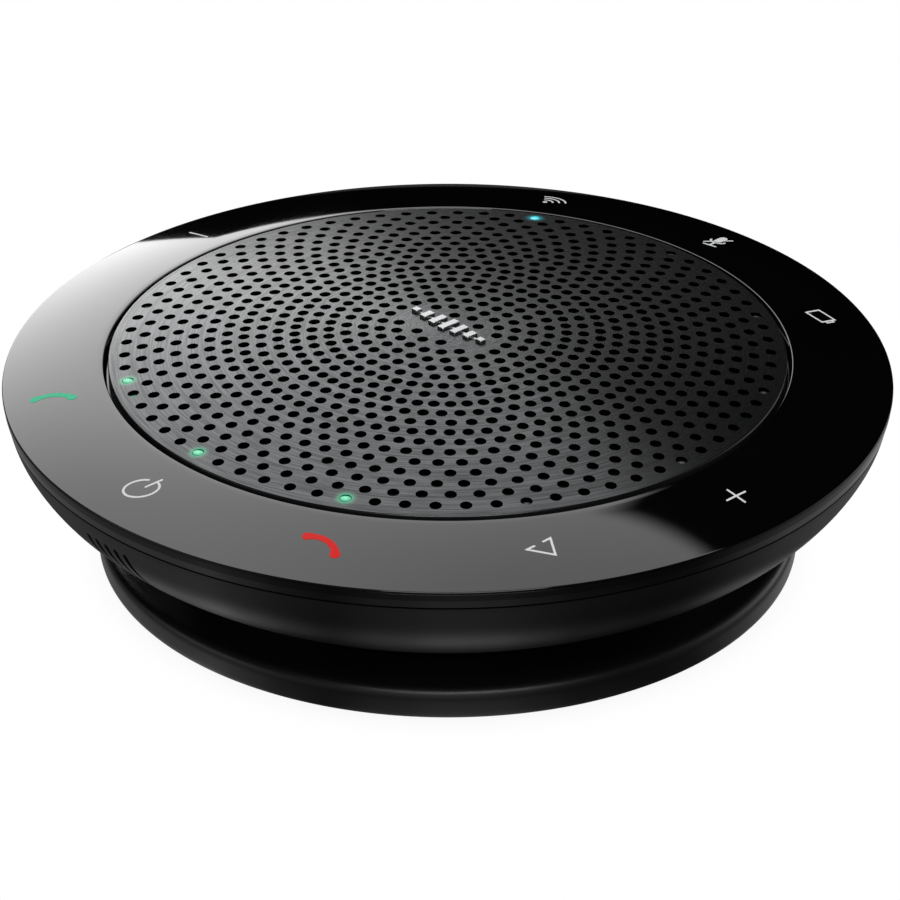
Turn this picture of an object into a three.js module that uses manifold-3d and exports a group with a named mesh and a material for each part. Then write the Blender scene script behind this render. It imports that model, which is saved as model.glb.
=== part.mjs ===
// Conference speakerphone: a round table unit, 120 mm across, that stands on a rubber foot ring.
// A domed, perforated metal grille covers one upward-firing loudspeaker. A gloss touch ring runs
// round it, over a bowl-shaped casing. Below the casing a narrow hub and a base disc form the
// groove that the unit's lead is wound into.
//
// Millimetres, +Z up. The origin is the middle of the foot's flat underside. +X points to the
// plus sign on the touch ring, and the front of the unit, with the microphone slots, faces -Y.
import * as THREE from "three";
import { mergeVertices } from "three/addons/utils/BufferGeometryUtils.js";
import Module from "manifold-3d";

const wasm = await Module();
wasm.setup();

// Driving dimensions.
const BODY_RADIUS = 60; // outer edge of the touch ring
const RIM_Z = 26.5; // height of that edge
const DOME_Z = 32.03; // top of the grille's dome
const DOME_FALL = 0.001472; // the dome falls by this times the radius squared
const GRILLE_RADIUS = 45.74;
const GRILLE_THICKNESS = 0.7;
const HOLE_PITCH = 2.29; // from one ring of sound holes to the next
const HOLE_RADIUS = 0.82; // corner radius of a six-sided sound hole
const OUTER_HOLE_RING = 19; // this ring also carries the twelve light guides
const OUTER_HOLES = 36; // holes cut in that ring, the light guides' among them
const LIGHT_COUNT = 12;
const LIGHT_HOLE_RADIUS = 1.0;
const SEAM_Z = 24.1; // joint between upper frame and lower casing
const DECK_TOP = 24.9; // loudspeaker deck inside the upper frame
const DECK_BOTTOM = 23.3;
const CASING_BOTTOM = 11.5;
const CASING_FLOOR = 13.3;
const HUB_RADIUS = 40; // bottom of the cord groove
const BASE_RADIUS = 48.26;
const BASE_TOP = 5;
const BASE_BOTTOM = 0.5;
const FOOT_INNER = 31.5;
const FOOT_OUTER = 43.9;
const GAP = 0.3; // left between pieces that touch
const POST_RADIUS = 35.2; // the long screws' circle
const POST_COUNT = 4;
const POST_START = Math.PI / 4;
const DRIVER_SCREW_RADIUS = 29.8;
const DRIVER_SCREW_COUNT = 4;
const BOARD_BOTTOM = 14.3;
const BOARD_TOP = 15.5;
const BOARD_INNER = 22;
const BOARD_OUTER = 42.5;
const BOARD_SCREW_RADIUS = 39;
const BOARD_SCREW_COUNT = 3;
const OUTER_SIDES = 40; // facets round the large turned pieces
const INNER_SIDES = 24; // facets round the loudspeaker's turned pieces
const SMALL_SIDES = 6; // facets round screws, pins and bosses

const LIGHT_RADIUS = HOLE_PITCH * OUTER_HOLE_RING;
const domeZ = (radius) => DOME_Z - DOME_FALL * radius * radius;

// Finishes.
const finish = (color, roughness, metalness = 0) =>
  new THREE.MeshStandardMaterial({ color, roughness, metalness });
const grilleMetal = finish(0x55585b, 0.38, 0.9);
const brightMetal = finish(0xd5d8da, 0.15, 1);
const acousticCloth = finish(0x0b0b0c, 0.95);
const glossBlack = finish(0x050506, 0.06);
const satinBlack = finish(0x17181a, 0.45);
const softBlack = finish(0x0e0e0f, 0.8);
const clearPlastic = finish(0xdfe8e6, 0.1);
const circuitGreen = finish(0x14402a, 0.5);
const foilAmber = finish(0x9a6a1e, 0.4);
const chipBlack = finish(0x111214, 0.6);
const tinPlate = finish(0xb9bcbe, 0.3, 1);
const zincSteel = finish(0x8f9396, 0.4, 1);
const magnetGrey = finish(0x6f7275, 0.3, 0.9);
const copper = finish(0xb0622e, 0.35, 1);
const paperGrey = finish(0x2a2b2d, 0.85);
const weaveTan = finish(0x8c6a3c, 0.9);
const cellBlue = finish(0x2b4f86, 0.5);
const wirePlastic = finish(0x8c1a18, 0.5);
const connectorIvory = finish(0xd9d4c4, 0.5);

// Shape helpers.
const table = new THREE.Group();

function place(name, geometry, material) {
  const mesh = new THREE.Mesh(geometry, material);
  mesh.name = name;
  table.add(mesh);
  return mesh;
}

// A closed geometry as a manifold solid.
function solid(geometry) {
  const bare = geometry.clone();
  bare.deleteAttribute("normal");
  bare.deleteAttribute("uv");
  const merged = mergeVertices(bare, 1e-4);
  return new wasm.Manifold(
    new wasm.Mesh({
      numProp: 3,
      vertProperties: new Float32Array(merged.attributes.position.array),
      triVerts: new Uint32Array(merged.index.array),
    }),
  );
}

// A manifold solid as a geometry with flat faces.
function faceted(body) {
  const mesh = body.getMesh();
  const geometry = new THREE.BufferGeometry();
  geometry.setAttribute("position", new THREE.BufferAttribute(mesh.vertProperties, 3));
  geometry.setIndex(new THREE.BufferAttribute(mesh.triVerts, 1));
  const flat = geometry.toNonIndexed();
  flat.computeVertexNormals();
  return flat;
}

// A solid of revolution about Z. The profile lists [radius, z] from the bottom outwards, up the
// outside and back in over the top. It starts and ends on the axis, or closes on itself.
function turned(profile, sides = OUTER_SIDES) {
  const points = profile.map(([radius, z]) => new THREE.Vector2(radius, z));
  const onAxis = profile[0][0] === 0 && profile[profile.length - 1][0] === 0;
  if (!onAxis) points.push(points[0].clone());
  return new THREE.LatheGeometry(points, sides).rotateX(Math.PI / 2);
}

// A flat ring or disc between two heights.
function washer(inner, outer, low, high, sides = OUTER_SIDES) {
  const rise = [[outer, low], [outer, high]];
  return turned([[inner, low], ...rise, [inner, high]], sides);
}

function rod(radius, low, high, x = 0, y = 0, sides = SMALL_SIDES) {
  return turned([[0, low], [radius, low], [radius, high], [0, high]], sides).translate(x, y, 0);
}

function block(width, depth, low, high, x = 0, y = 0) {
  return new THREE.BoxGeometry(width, depth, high - low).translate(x, y, (low + high) / 2);
}

function join(shapes) {
  return shapes.map(solid).reduce((whole, next) => whole.add(next));
}

// Places evenly spaced round the axis, as {x, y, angle}.
function around(count, radius, start = 0) {
  return Array.from({ length: count }, (_, i) => {
    const angle = start + (i * 2 * Math.PI) / count;
    return { x: radius * Math.cos(angle), y: radius * Math.sin(angle), angle };
  });
}

// A round lead along a smooth curve.
function lead(points, radius, steps) {
  const section = new THREE.Shape().absarc(0, 0, radius, 0, 2 * Math.PI);
  const path = new THREE.CatmullRomCurve3(points.map((p) => new THREE.Vector3(...p)));
  return new THREE.ExtrudeGeometry(section, { steps, curveSegments: 3, extrudePath: path });
}

const numbered = (name, i) => `${name}_${String(i + 1).padStart(2, "0")}`;

const posts = around(POST_COUNT, POST_RADIUS, POST_START);
const driverScrews = around(DRIVER_SCREW_COUNT, DRIVER_SCREW_RADIUS);
const boardScrews = around(BOARD_SCREW_COUNT, BOARD_SCREW_RADIUS);
const lights = around(LIGHT_COUNT, LIGHT_RADIUS);

// Base disc: one moulding with a recess for the foot ring and a well for the battery.
const footSeat = FOOT_INNER - GAP;
const footLip = FOOT_OUTER + GAP;
const footDepth = 1.6;
const wellRadius = 31;
const wellFloor = 2.4;
const baseBlank = turned([
  [0, BASE_BOTTOM],
  [footSeat, BASE_BOTTOM],
  [footSeat, footDepth],
  [footLip, footDepth],
  [footLip, BASE_BOTTOM],
  [46.9, BASE_BOTTOM],
  [47.9, 0.95],
  [BASE_RADIUS, 1.9],
  [BASE_RADIUS, 3.9],
  [48.04, 4.5],
  [47.3, BASE_TOP],
  [wellRadius, BASE_TOP],
  [wellRadius, wellFloor],
  [0, wellFloor],
]);
const headSeat = 3.4;
const baseHoles = posts.flatMap(({ x, y }) => [
  rod(2.8, 1, headSeat, x, y),
  rod(1.7, 1, BASE_TOP + 1, x, y),
]);
place("base_disc", faceted(solid(baseBlank).subtract(join(baseHoles))), satinBlack);

// Rubber foot ring, pressed into the base disc over the long screws' heads.
place("foot_ring", washer(FOOT_INNER, FOOT_OUTER, 0, footDepth - GAP), softBlack);

// Hub: a short tube with four screw posts inside, and a hole at the back for the lead's gland.
const hubLow = BASE_TOP + GAP;
const hubHigh = CASING_BOTTOM - GAP;
const glandZ = (hubLow + hubHigh) / 2;
const hubWall = 1.8;
const hubBlank = join([
  washer(HUB_RADIUS - hubWall, HUB_RADIUS, hubLow, hubHigh),
  ...posts.map(({ x, y }) => rod(3.5, hubLow, hubHigh, x, y)),
]);
const glandHole = rod(2.5, -45, -30, 0, 0, 12).rotateX(Math.PI / 2).translate(0, 0, glandZ);
const hubHoles = posts.map(({ x, y }) => rod(1.7, hubLow - 1, hubHigh + 1, x, y));
place("spool_hub", faceted(hubBlank.subtract(join([glandHole, ...hubHoles]))), satinBlack);

// Gland that the lead leaves through, with a flange each side of the hub's wall.
const glandBore = 1.4;
const glandProfile = [
  [glandBore, 36.6],
  [2.6, 36.6],
  [2.6, 37.6],
  [2.1, 37.6],
  [2.1, 40.4],
  [2.6, 40.4],
  [2.6, 41.3],
  [glandBore, 41.3],
];
const gland = turned(glandProfile, 12).rotateX(-Math.PI / 2).translate(0, 0, glandZ);
place("lead_gland", gland, softBlack);

// Lower casing: a thin bowl whose floor has a hole for the magnet, with slots at the front for
// the microphone, bosses for the main board and clearance for the long screws.
const casingBlank = turned([
  [BOARD_INNER, CASING_BOTTOM],
  [49.2, CASING_BOTTOM],
  [50.2, 11.9],
  [52.4, 13.5],
  [54.8, 15.5],
  [56.9, 18],
  [58.5, 21],
  [59.5, SEAM_Z - 0.25],
  [57.3, SEAM_Z - 0.25],
  [56.8, 20.8],
  [54.2, 16.5],
  [48, CASING_FLOOR],
  [BOARD_INNER, CASING_FLOOR],
]);
const bossTop = BOARD_BOTTOM - GAP;
const casingBosses = boardScrews.map(({ x, y }) => rod(2.6, 12.4, bossTop, x, y));
const bossHoles = boardScrews.map(({ x, y }) => rod(1.2, 12.1, bossTop + 1, x, y));
const casingHoles = posts.map(({ x, y }) => rod(1.7, 11, 14, x, y));
const slotCount = 5;
const slotWidth = 0.8;
const slotPitch = (1.8 * Math.PI) / 180;
const slots = Array.from({ length: slotCount }, (_, i) => {
  const turn = (i - (slotCount - 1) / 2) * slotPitch;
  return block(slotWidth, 14, 13.7, 21.8, 0, -54).rotateZ(turn);
});
const casing = solid(casingBlank)
  .add(join(casingBosses))
  .subtract(join([...bossHoles, ...casingHoles, ...slots]));
place("lower_casing", faceted(casing), satinBlack);

// Upper frame: the black band under the touch ring, the deck that holds the loudspeaker, a rib
// that carries grille and ring, and the posts that the long screws pull on.
const postLow = CASING_FLOOR + GAP;
const driverHole = 27.2;
const frameBlank = turned([
  [driverHole, DECK_BOTTOM],
  [55.2, DECK_BOTTOM],
  [55.2, 21],
  [56.4, 21],
  [56.4, SEAM_Z],
  [59.57, SEAM_Z],
  [59.8, 25],
  [BODY_RADIUS, 25.95],
  [58.75, 25.95],
  [58.75, DECK_TOP],
  [46.1, DECK_TOP],
  [46.1, 27],
  [44.7, 27],
  [44.7, DECK_TOP],
  [driverHole, DECK_TOP],
]);
const bossLow = 21.2;
const framePosts = posts.map(({ x, y }) => rod(2.5, postLow, DECK_BOTTOM + 0.8, x, y));
const frameBosses = driverScrews.map(({ x, y }) => rod(2.3, bossLow, DECK_BOTTOM + 0.8, x, y));
const postHoles = posts.map(({ x, y }) => rod(1.5, postLow - 1, 20.5, x, y));
const driverHoles = driverScrews.map(({ x, y }) => rod(1.3, bossLow + 0.6, DECK_TOP + 1, x, y));
const frame = solid(frameBlank)
  .add(join([...framePosts, ...frameBosses]))
  .subtract(join([...postHoles, ...driverHoles]));
place("upper_frame", faceted(frame), satinBlack);

// Touch ring: gloss moulding that slopes down to the rim, seated on the frame's rib and band.
const ringFloorZ = (radius) => 27.2 - (radius - 46.35) * 0.158;
place(
  "touch_ring",
  turned([
    [46.35, ringFloorZ(46.35)],
    [58.4, ringFloorZ(58.4)],
    [58.4, 26.2],
    [BODY_RADIUS, 26.2],
    [BODY_RADIUS, RIM_Z],
    [57.5, 27.1],
    [53.3, 27.87],
    [46.9, 28.75],
    [46.45, 28.5],
  ]),
  glossBlack,
);

// Touch film: the electrode sheet bonded under the ring.
const filmZ = (radius, depth) => ringFloorZ(radius) - 0.2 - depth;
const filmDepth = 0.25;
place(
  "touch_film",
  turned([
    [47.2, filmZ(47.2, filmDepth)],
    [56.6, filmZ(56.6, filmDepth)],
    [56.6, filmZ(56.6, 0)],
    [47.2, filmZ(47.2, 0)],
  ]),
  foilAmber,
);

// Light board: a ring of circuit board with one lamp under each light guide.
const lampTop = 26.5;
const lightBoardTop = DECK_TOP + GAP + 0.8;
const lamps = lights.map(({ angle }) =>
  block(0.9, 1.7, lightBoardTop - 0.2, lampTop, LIGHT_RADIUS, 0).rotateZ(angle),
);
const lightBoard = join([
  washer(40.8, 44.4, DECK_TOP + GAP, lightBoardTop),
  ...lamps,
]);
place("light_board", faceted(lightBoard), circuitGreen);

// Light guides: clear pins from the lamps up into the grille's outermost ring of holes.
const guideLow = lampTop + GAP;
const guideShoulder = 27.4;
const guideTop = domeZ(LIGHT_RADIUS);
lights.forEach(({ x, y }, i) => {
  const profile = [
    [0, guideLow],
    [0.95, guideLow],
    [0.95, guideShoulder],
    [0.62, guideShoulder],
    [0.62, guideTop],
    [0, guideTop],
  ];
  const pin = turned(profile, SMALL_SIDES).translate(x, y, 0);
  place(numbered("light_guide", i), pin, clearPlastic);
});

// Grille: a domed metal pressing with a turned-down edge. A part of its pattern of sound holes
// is cut here: every second hole of the outermost ring, and some in three inner rings.
const domeRadii = [18, 33, 45.2];
const skirtInner = GRILLE_RADIUS - GRILLE_THICKNESS;
const skirtLow = 27.3;
const grilleBlank = turned([
  [0, DOME_Z - GRILLE_THICKNESS],
  ...domeRadii.slice(0, 2).map((r) => [r, domeZ(r) - GRILLE_THICKNESS]),
  [skirtInner, domeZ(skirtInner) - GRILLE_THICKNESS],
  [skirtInner, skirtLow],
  [GRILLE_RADIUS, skirtLow],
  [GRILLE_RADIUS, 28.6],
  ...domeRadii.slice().reverse().map((r) => [r, domeZ(r)]),
  [0, DOME_Z],
]);
const soundHoles = around(OUTER_HOLES, LIGHT_RADIUS)
  .filter((_, i) => i % (OUTER_HOLES / LIGHT_COUNT) !== 0)
  .map(({ x, y }) => rod(HOLE_RADIUS, 27.6, 31, x, y));
const innerHoles = [[5, 10], [9, 12], [13, 12]].flatMap(([ring, count]) =>
  around(count, ring * HOLE_PITCH).map(({ x, y }) => rod(HOLE_RADIUS, 29, 33, x, y)),
);
const lightHoles = lights.map(({ x, y }) => rod(LIGHT_HOLE_RADIUS, 27.6, 31, x, y));
const grille = solid(grilleBlank).subtract(join([...soundHoles, ...innerHoles, ...lightHoles]));
place("speaker_grille", faceted(grille), grilleMetal);

// Emblem: a row of level bars on a thin backing strip, bonded to the top of the dome.
const emblemX = -0.5;
const emblemY = 0.6;
const emblemLow = DOME_Z + 0.1;
const emblemTop = emblemLow + 0.3;
const barHeights = [1, 1.9, 2.7, 3.2, 2.7, 1.9, 1];
const barPitch = 2.1;
const barWidth = 1.2;
const bars = barHeights.map((height, i) =>
  block(barWidth, height, emblemLow, emblemTop, emblemX + (i - 3) * barPitch, emblemY),
);
const strip = block(6 * barPitch + 0.4, 0.5, emblemLow, emblemLow + 0.2, emblemX, emblemY);
place("grille_emblem", faceted(join([strip, ...bars])), brightMetal);

// Acoustic mesh bonded under the grille, inside the ring of light guides.
const meshTop = (radius) => domeZ(radius) - GRILLE_THICKNESS - 0.25;
const meshThickness = 0.35;
const meshRadii = [20, 42];
place(
  "acoustic_mesh",
  turned([
    [0, meshTop(0) - meshThickness],
    ...meshRadii.map((r) => [r, meshTop(r) - meshThickness]),
    ...meshRadii.slice().reverse().map((r) => [r, meshTop(r)]),
    [0, meshTop(0)],
  ]),
  acousticCloth,
);

// Loudspeaker, fixed parts: pressed basket with four windows, gasket, yoke, magnet, pole plate.
const basketBlank = turned(
  [
    [17.5, 16.5],
    [18.5, 16.5],
    [18.5, 18.6],
    [20.8, 19],
    [24.4, 26.1],
    [32, 26.1],
    [32, 26.9],
    [23.8, 26.9],
    [20.2, 19.8],
    [17.5, 19.8],
  ],
  INNER_SIDES,
);
const flangeHoles = driverScrews.map(({ x, y }) => rod(1.3, 25, 28, x, y));
const windows = around(4, 1, Math.PI / 4).map(({ angle }) =>
  block(10, 14, 20.4, 24.6, 23, 0).rotateZ(angle),
);
const basket = solid(basketBlank).subtract(join([...flangeHoles, ...windows]));
place("speaker_basket", faceted(basket), zincSteel);

const gasketBlank = washer(27.5, 31.7, DECK_TOP + 0.2, 25.9, INNER_SIDES);
place("speaker_gasket", faceted(solid(gasketBlank).subtract(join(flangeHoles))), softBlack);

const yokeLow = 11;
const yokeTop = 19;
const poleRadius = 9.3;
const yokeProfile = [
  [0, yokeLow],
  [17, yokeLow],
  [17, yokeTop],
  [11.2, yokeTop],
  [11.2, 12.6],
  [0, 12.6],
];
place("magnet_yoke", turned(yokeProfile, INNER_SIDES), zincSteel);
place("magnet_disc", rod(poleRadius - 0.1, 12.8, 16.6, 0, 0, INNER_SIDES), magnetGrey);
place("pole_plate", rod(poleRadius, 16.8, yokeTop, 0, 0, INNER_SIDES), zincSteel);

// Loudspeaker, moving parts: they travel together along Z.
place("coil_former", washer(9.7, 9.95, 14.6, 22, INNER_SIDES), foilAmber);
place("voice_coil", washer(10.05, 10.8, 14.9, 19.3, INNER_SIDES), copper);
const coneProfile = [
  [10.15, 20.9],
  [20.6, 27.1],
  [21.8, 27.4],
  [21.8, 28],
  [20.4, 28],
  [10.15, 21.6],
];
place("speaker_cone", turned(coneProfile, INNER_SIDES), paperGrey);
const capProfile = [
  [0, 24.7],
  [6, 24.2],
  [11.9, 23],
  [11.9, 23.4],
  [6, 24.6],
  [0, 25.1],
];
place("dust_cap", turned(capProfile, INNER_SIDES), paperGrey);

// Loudspeaker, flexing parts: the outer edge of each stays put and the inner edge travels.
const surroundProfile = [
  [20.7, 28.1],
  [22.2, 28.1],
  [23.8, 27.7],
  [24.8, 27],
  [26.8, 27],
  [26.8, 27.4],
  [25, 27.4],
  [23.7, 28.2],
  [22.2, 28.5],
  [20.7, 28.5],
];
place("cone_surround", turned(surroundProfile, INNER_SIDES), softBlack);
const spiderTop = [[10.2, 20.7], [13, 20.9], [16, 20.15], [20, 20.2]];
const spiderProfile = [
  ...spiderTop.map(([radius, z]) => [radius, z - 0.3]),
  ...spiderTop.slice().reverse(),
];
place("cone_spider", turned(spiderProfile, INNER_SIDES), weaveTan);

// Main board: a ring round the magnet, cleared for the long screws' posts.
const boardBlank = washer(BOARD_INNER, BOARD_OUTER, BOARD_BOTTOM, BOARD_TOP);
const boardCuts = [
  ...posts.map(({ x, y }) => rod(3, BOARD_BOTTOM - 1, BOARD_TOP + 1, x, y)),
  ...boardScrews.map(({ x, y }) => rod(1.2, BOARD_BOTTOM - 1, BOARD_TOP + 1, x, y)),
];
place("main_board", faceted(solid(boardBlank).subtract(join(boardCuts))), circuitGreen);

const onBoard = BOARD_TOP + 0.1;
place("processor_chip", block(9, 9, onBoard, onBoard + 1.1, -27.7, 15.5), chipBlack);
place("radio_shield", block(14, 11, onBoard, onBoard + 2.2, -30, -11), tinPlate);
place("battery_connector", block(5, 7, onBoard, onBoard + 3, 29.5, 0), connectorIvory);
place("lead_connector", block(9, 5, onBoard, onBoard + 4, 0, 34), connectorIvory);
place("touch_connector", block(8, 4, onBoard, onBoard + 1.6, 16, -29), chipBlack);
place(
  "speaker_connector",
  block(4.5, 5.5, onBoard, onBoard + 3, 29.5, 0).rotateZ(Math.PI / 3),
  connectorIvory,
);

// Battery in the base's well, with a foam pad between it and the magnet.
const cellLow = wellFloor + 0.4;
const cellTop = cellLow + 6;
const cellShape = new THREE.Shape();
const cellHalf = 25;
const cellEnd = 3;
cellShape.absarc(cellHalf - cellEnd, cellEnd, cellEnd, -Math.PI / 2, Math.PI / 2);
cellShape.absarc(-cellHalf + cellEnd, cellEnd, cellEnd, Math.PI / 2, 1.5 * Math.PI);
const cell = new THREE.ExtrudeGeometry(cellShape, { depth: 34, bevelEnabled: false, curveSegments: 6 })
  .rotateX(Math.PI / 2)
  .translate(0, 17, cellLow);
place("battery_cell", cell, cellBlue);
place("battery_pad", block(30, 24, cellTop + GAP, yokeLow - GAP), softBlack);

const batteryRoute = [
  [25.3, 0, 5.8],
  [27.6, 0, 6.1],
  [28.3, 0, 8],
  [26.4, 0, 9.8],
  [22.4, 0, 10.3],
  [19.7, 0, 11.6],
  [19.3, 0, 14],
  [20.6, 0, 16.3],
  [23.6, 0, 17.2],
  [26.7, 0, 17.2],
];
place("battery_lead", lead(batteryRoute, 0.6, 16), wirePlastic);
const speakerRoute = [
  [26.9, 0, 17.2],
  [25, 0, 17.3],
  [23.4, 0, 18.2],
  [22.9, 0, 19.6],
  [23, 0, 21],
];
const speakerLead = lead(speakerRoute, 0.5, 8).rotateZ(Math.PI / 3);
place("speaker_lead", speakerLead, wirePlastic);

// Microphone behind the front slots: rubber boot, capsule and its small board.
const micZ = 18.9;
const bootBore = rod(1.5, -60, 60, 0, 0, 12).rotateX(Math.PI / 2).translate(0, 0, micZ);
const boot = solid(block(12, 2.2, 16.8, 20.9, 0, -52.5)).subtract(solid(bootBore));
place("microphone_boot", faceted(boot), softBlack);
const capsule = rod(2, 49.6, 51.1, 0, 0, 12).rotateX(Math.PI / 2).translate(0, 0, micZ);
place("microphone_capsule", capsule, tinPlate);
place("microphone_board", block(10, 0.8, 16.5, 21.3, 0, -48.9), circuitGreen);

// Screws, each turned as head and shank in one. A head above its shank is listed from below.
function screw(name, { x, y }, shank, head) {
  const down = head.low < shank.low;
  const stem = [[shank.radius, shank.low], [shank.radius, shank.high]];
  const cap = [[head.radius, head.low], [head.radius, head.high]];
  const side = down ? [...cap, ...stem] : [...stem, ...cap];
  const low = Math.min(head.low, shank.low);
  const high = Math.max(head.high, shank.high);
  place(name, turned([[0, low], ...side, [0, high]], SMALL_SIDES).translate(x, y, 0), zincSteel);
}
posts.forEach((spot, i) => {
  const shank = { radius: 1.25, low: headSeat - 0.2, high: 19.5 };
  screw(numbered("case_screw", i), spot, shank, { radius: 2.4, low: 1.8, high: shank.low });
});
driverScrews.forEach((spot, i) => {
  const shank = { radius: 1, low: 22.2, high: 27 };
  screw(numbered("speaker_screw", i), spot, shank, { radius: 1.7, low: shank.high, high: 27.9 });
});
boardScrews.forEach((spot, i) => {
  const shank = { radius: 0.9, low: 12.4, high: onBoard };
  screw(numbered("board_screw", i), spot, shank, { radius: 1.8, low: onBoard, high: 16.5 });
});

export default table;
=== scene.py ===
import math

import bmesh
import bpy
import numpy as np
from mathutils import Matrix, Vector, geometry


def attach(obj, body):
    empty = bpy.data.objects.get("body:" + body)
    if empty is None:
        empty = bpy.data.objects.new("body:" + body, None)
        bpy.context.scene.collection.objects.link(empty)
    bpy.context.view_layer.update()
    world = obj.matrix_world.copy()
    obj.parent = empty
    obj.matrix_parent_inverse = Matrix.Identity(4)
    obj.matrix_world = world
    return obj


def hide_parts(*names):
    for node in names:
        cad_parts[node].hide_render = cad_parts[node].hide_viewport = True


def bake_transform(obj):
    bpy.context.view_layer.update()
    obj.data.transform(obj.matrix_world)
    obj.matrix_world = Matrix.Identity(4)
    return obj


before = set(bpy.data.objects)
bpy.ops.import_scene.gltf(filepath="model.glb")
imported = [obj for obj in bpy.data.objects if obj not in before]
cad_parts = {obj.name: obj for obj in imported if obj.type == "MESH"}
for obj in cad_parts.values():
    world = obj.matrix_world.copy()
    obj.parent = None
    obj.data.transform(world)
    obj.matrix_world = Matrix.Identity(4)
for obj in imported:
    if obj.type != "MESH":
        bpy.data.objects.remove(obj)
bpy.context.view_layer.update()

# Camera. A long lens looks down on the front right of the unit from about 27 degrees above the
# table. Sizes here and below are in millimetres, and mm turns them into the frame's metres.
mm = 0.001
camera_data = bpy.data.cameras.new("camera")
camera_data.sensor_width = 36
camera_data.lens = 137.5
camera_data.clip_start = 0.01
camera_data.clip_end = 20
camera = bpy.data.objects.new("camera", camera_data)
bpy.context.scene.collection.objects.link(camera)
bpy.context.scene.camera = camera
camera.location = Vector((303.1, -282.7, 238.9)) * mm
aim = Vector((17.8, -16.2, 26.5)) * mm
camera.rotation_euler = (aim - camera.location).to_track_quat("-Z", "Y").to_euler()


# Studio. One big soft light behind on the left, which shows as a sheet of light in the gloss
# ring, a small one over the front for the grille, a pale floor and a dim room round it.
def feed(shader, sockets):
    """Sets a node's sockets, each to a value or to a wire."""
    for socket, value in sockets.items():
        if isinstance(value, bpy.types.NodeSocket):
            shader.id_data.links.new(value, shader.inputs[socket])
        else:
            shader.inputs[socket].default_value = value


def node(tree, kind, inputs=None, **settings):
    """Adds a shader node, with its settings by name and its inputs by socket."""
    made = tree.nodes.new("ShaderNode" + kind)
    for name, value in settings.items():
        setattr(made, name, value)
    feed(made, inputs or {})
    return made


def maths(tree, operation, first, second=0.0, third=0.0):
    return node(tree, "Math", {0: first, 1: second, 2: third}, operation=operation).outputs[0]


def product(tree, first, *others):
    """All the values multiplied together."""
    for factor in others:
        first = maths(tree, "MULTIPLY", first, factor)
    return first


def eased_range(tree, value, low, high, at_low, at_high):
    """A value that turns smoothly from at_low to at_high as the input goes from low to high."""
    sockets = {"Value": value, "From Min": low, "From Max": high, "To Min": at_low, "To Max": at_high}
    return node(tree, "MapRange", sockets, interpolation_type="SMOOTHSTEP").outputs["Result"]


def mixed(tree, share, first, second):
    """A colour between two colours."""
    return node(tree, "Mix", {0: share, 6: first, 7: second}, data_type="RGBA").outputs[2]


def emission_only(name):
    """A material that only gives light, and its emission node."""
    material = bpy.data.materials.new(name)
    material.use_nodes = True
    tree = material.node_tree
    tree.nodes.clear()
    glow = node(tree, "Emission")
    node(tree, "OutputMaterial", {"Surface": glow.outputs[0]})
    return material, glow


def flat_panel(name, corners, material, place, seen=False):
    """A flat stage panel through the given corners, in its own plane."""
    mesh = bpy.data.meshes.new(name)
    mesh.from_pydata([(x, y, 0) for x, y in corners], [], [tuple(range(len(corners)))])
    mesh.materials.append(material)
    panel = bpy.data.objects.new(name, mesh)
    bpy.context.scene.collection.objects.link(panel)
    panel.matrix_world = place
    panel.visible_camera = seen


def facing_origin(azimuth, elevation, distance):
    """Where a panel stands so that its back points away from the object: X right, Y up."""
    a, e = math.radians(azimuth), math.radians(elevation)
    outward = Vector((math.cos(e) * math.cos(a), math.cos(e) * math.sin(a), math.sin(e)))
    right = outward.cross(Vector((0, 0, 1))).normalized()
    up = right.cross(outward)
    turn = Matrix((right, up, right.cross(up))).transposed().to_4x4()
    return Matrix.Translation(outward * distance) @ turn


key_material, key_glow = emission_only("key_light")
key_tree = key_material.node_tree
key_axes = node(key_tree, "SeparateXYZ", {0: node(key_tree, "TexCoord").outputs["Object"]})
across, rise = key_axes.outputs["X"], key_axes.outputs["Y"]
key_power = eased_range(key_tree, rise, -0.28, 0.21, 4.1, 2.4)
key_fade = eased_range(key_tree, across, -0.2, 0.12, 1.04, 0.79)
upper_edge = maths(key_tree, "MULTIPLY_ADD", rise, 0.828, -0.02)
lower_edge = maths(key_tree, "MINIMUM", maths(key_tree, "MULTIPLY_ADD", rise, 0.5, 0.083), 0.145)
slant = maths(key_tree, "MAXIMUM", upper_edge, lower_edge)
soft_edge = eased_range(key_tree, maths(key_tree, "SUBTRACT", slant, across), 0.0, 0.04, 0.0, 1.0)
feed(key_glow, {"Strength": product(key_tree, key_power, key_fade, soft_edge)})
key_corners = [(-0.36, -0.30), (-0.19, -0.404), (-0.137, -0.302), (-0.083, -0.198), (0.06, -0.198),
               (0.50, 0.63), (-0.36, 0.63)]
flat_panel("key_light", key_corners, key_material, facing_origin(140, 30, 0.7))
front_material, front_glow = emission_only("front_light")
feed(front_glow, {"Strength": 6.0})
front_corners = [(-0.16, -0.10), (0.14, -0.10), (0.10, 0.12), (-0.12, 0.12)]
flat_panel("front_light", front_corners, front_material, facing_origin(-40, 52, 0.5))


def round_the_table(tree, place, strips):
    """Brightness by bearing: each strip is (degrees anticlockwise from X, its share)."""
    axes = node(tree, "SeparateXYZ", {0: place})
    turn = maths(tree, "ARCTAN2", axes.outputs["Y"], axes.outputs["X"])
    ramp = node(tree, "ValToRGB", {0: maths(tree, "MULTIPLY_ADD", turn, 1 / (2 * math.pi), 0.5)})
    ramp.color_ramp.interpolation = "EASE"
    marks = ramp.color_ramp.elements
    while len(marks) < len(strips):
        marks.new(0.5)
    for mark, (bearing, level) in zip(marks, strips):
        mark.position = (bearing + 180) / 360
        mark.color = (level, level, level, 1)
    return ramp.outputs[0], axes.outputs["Z"]


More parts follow.
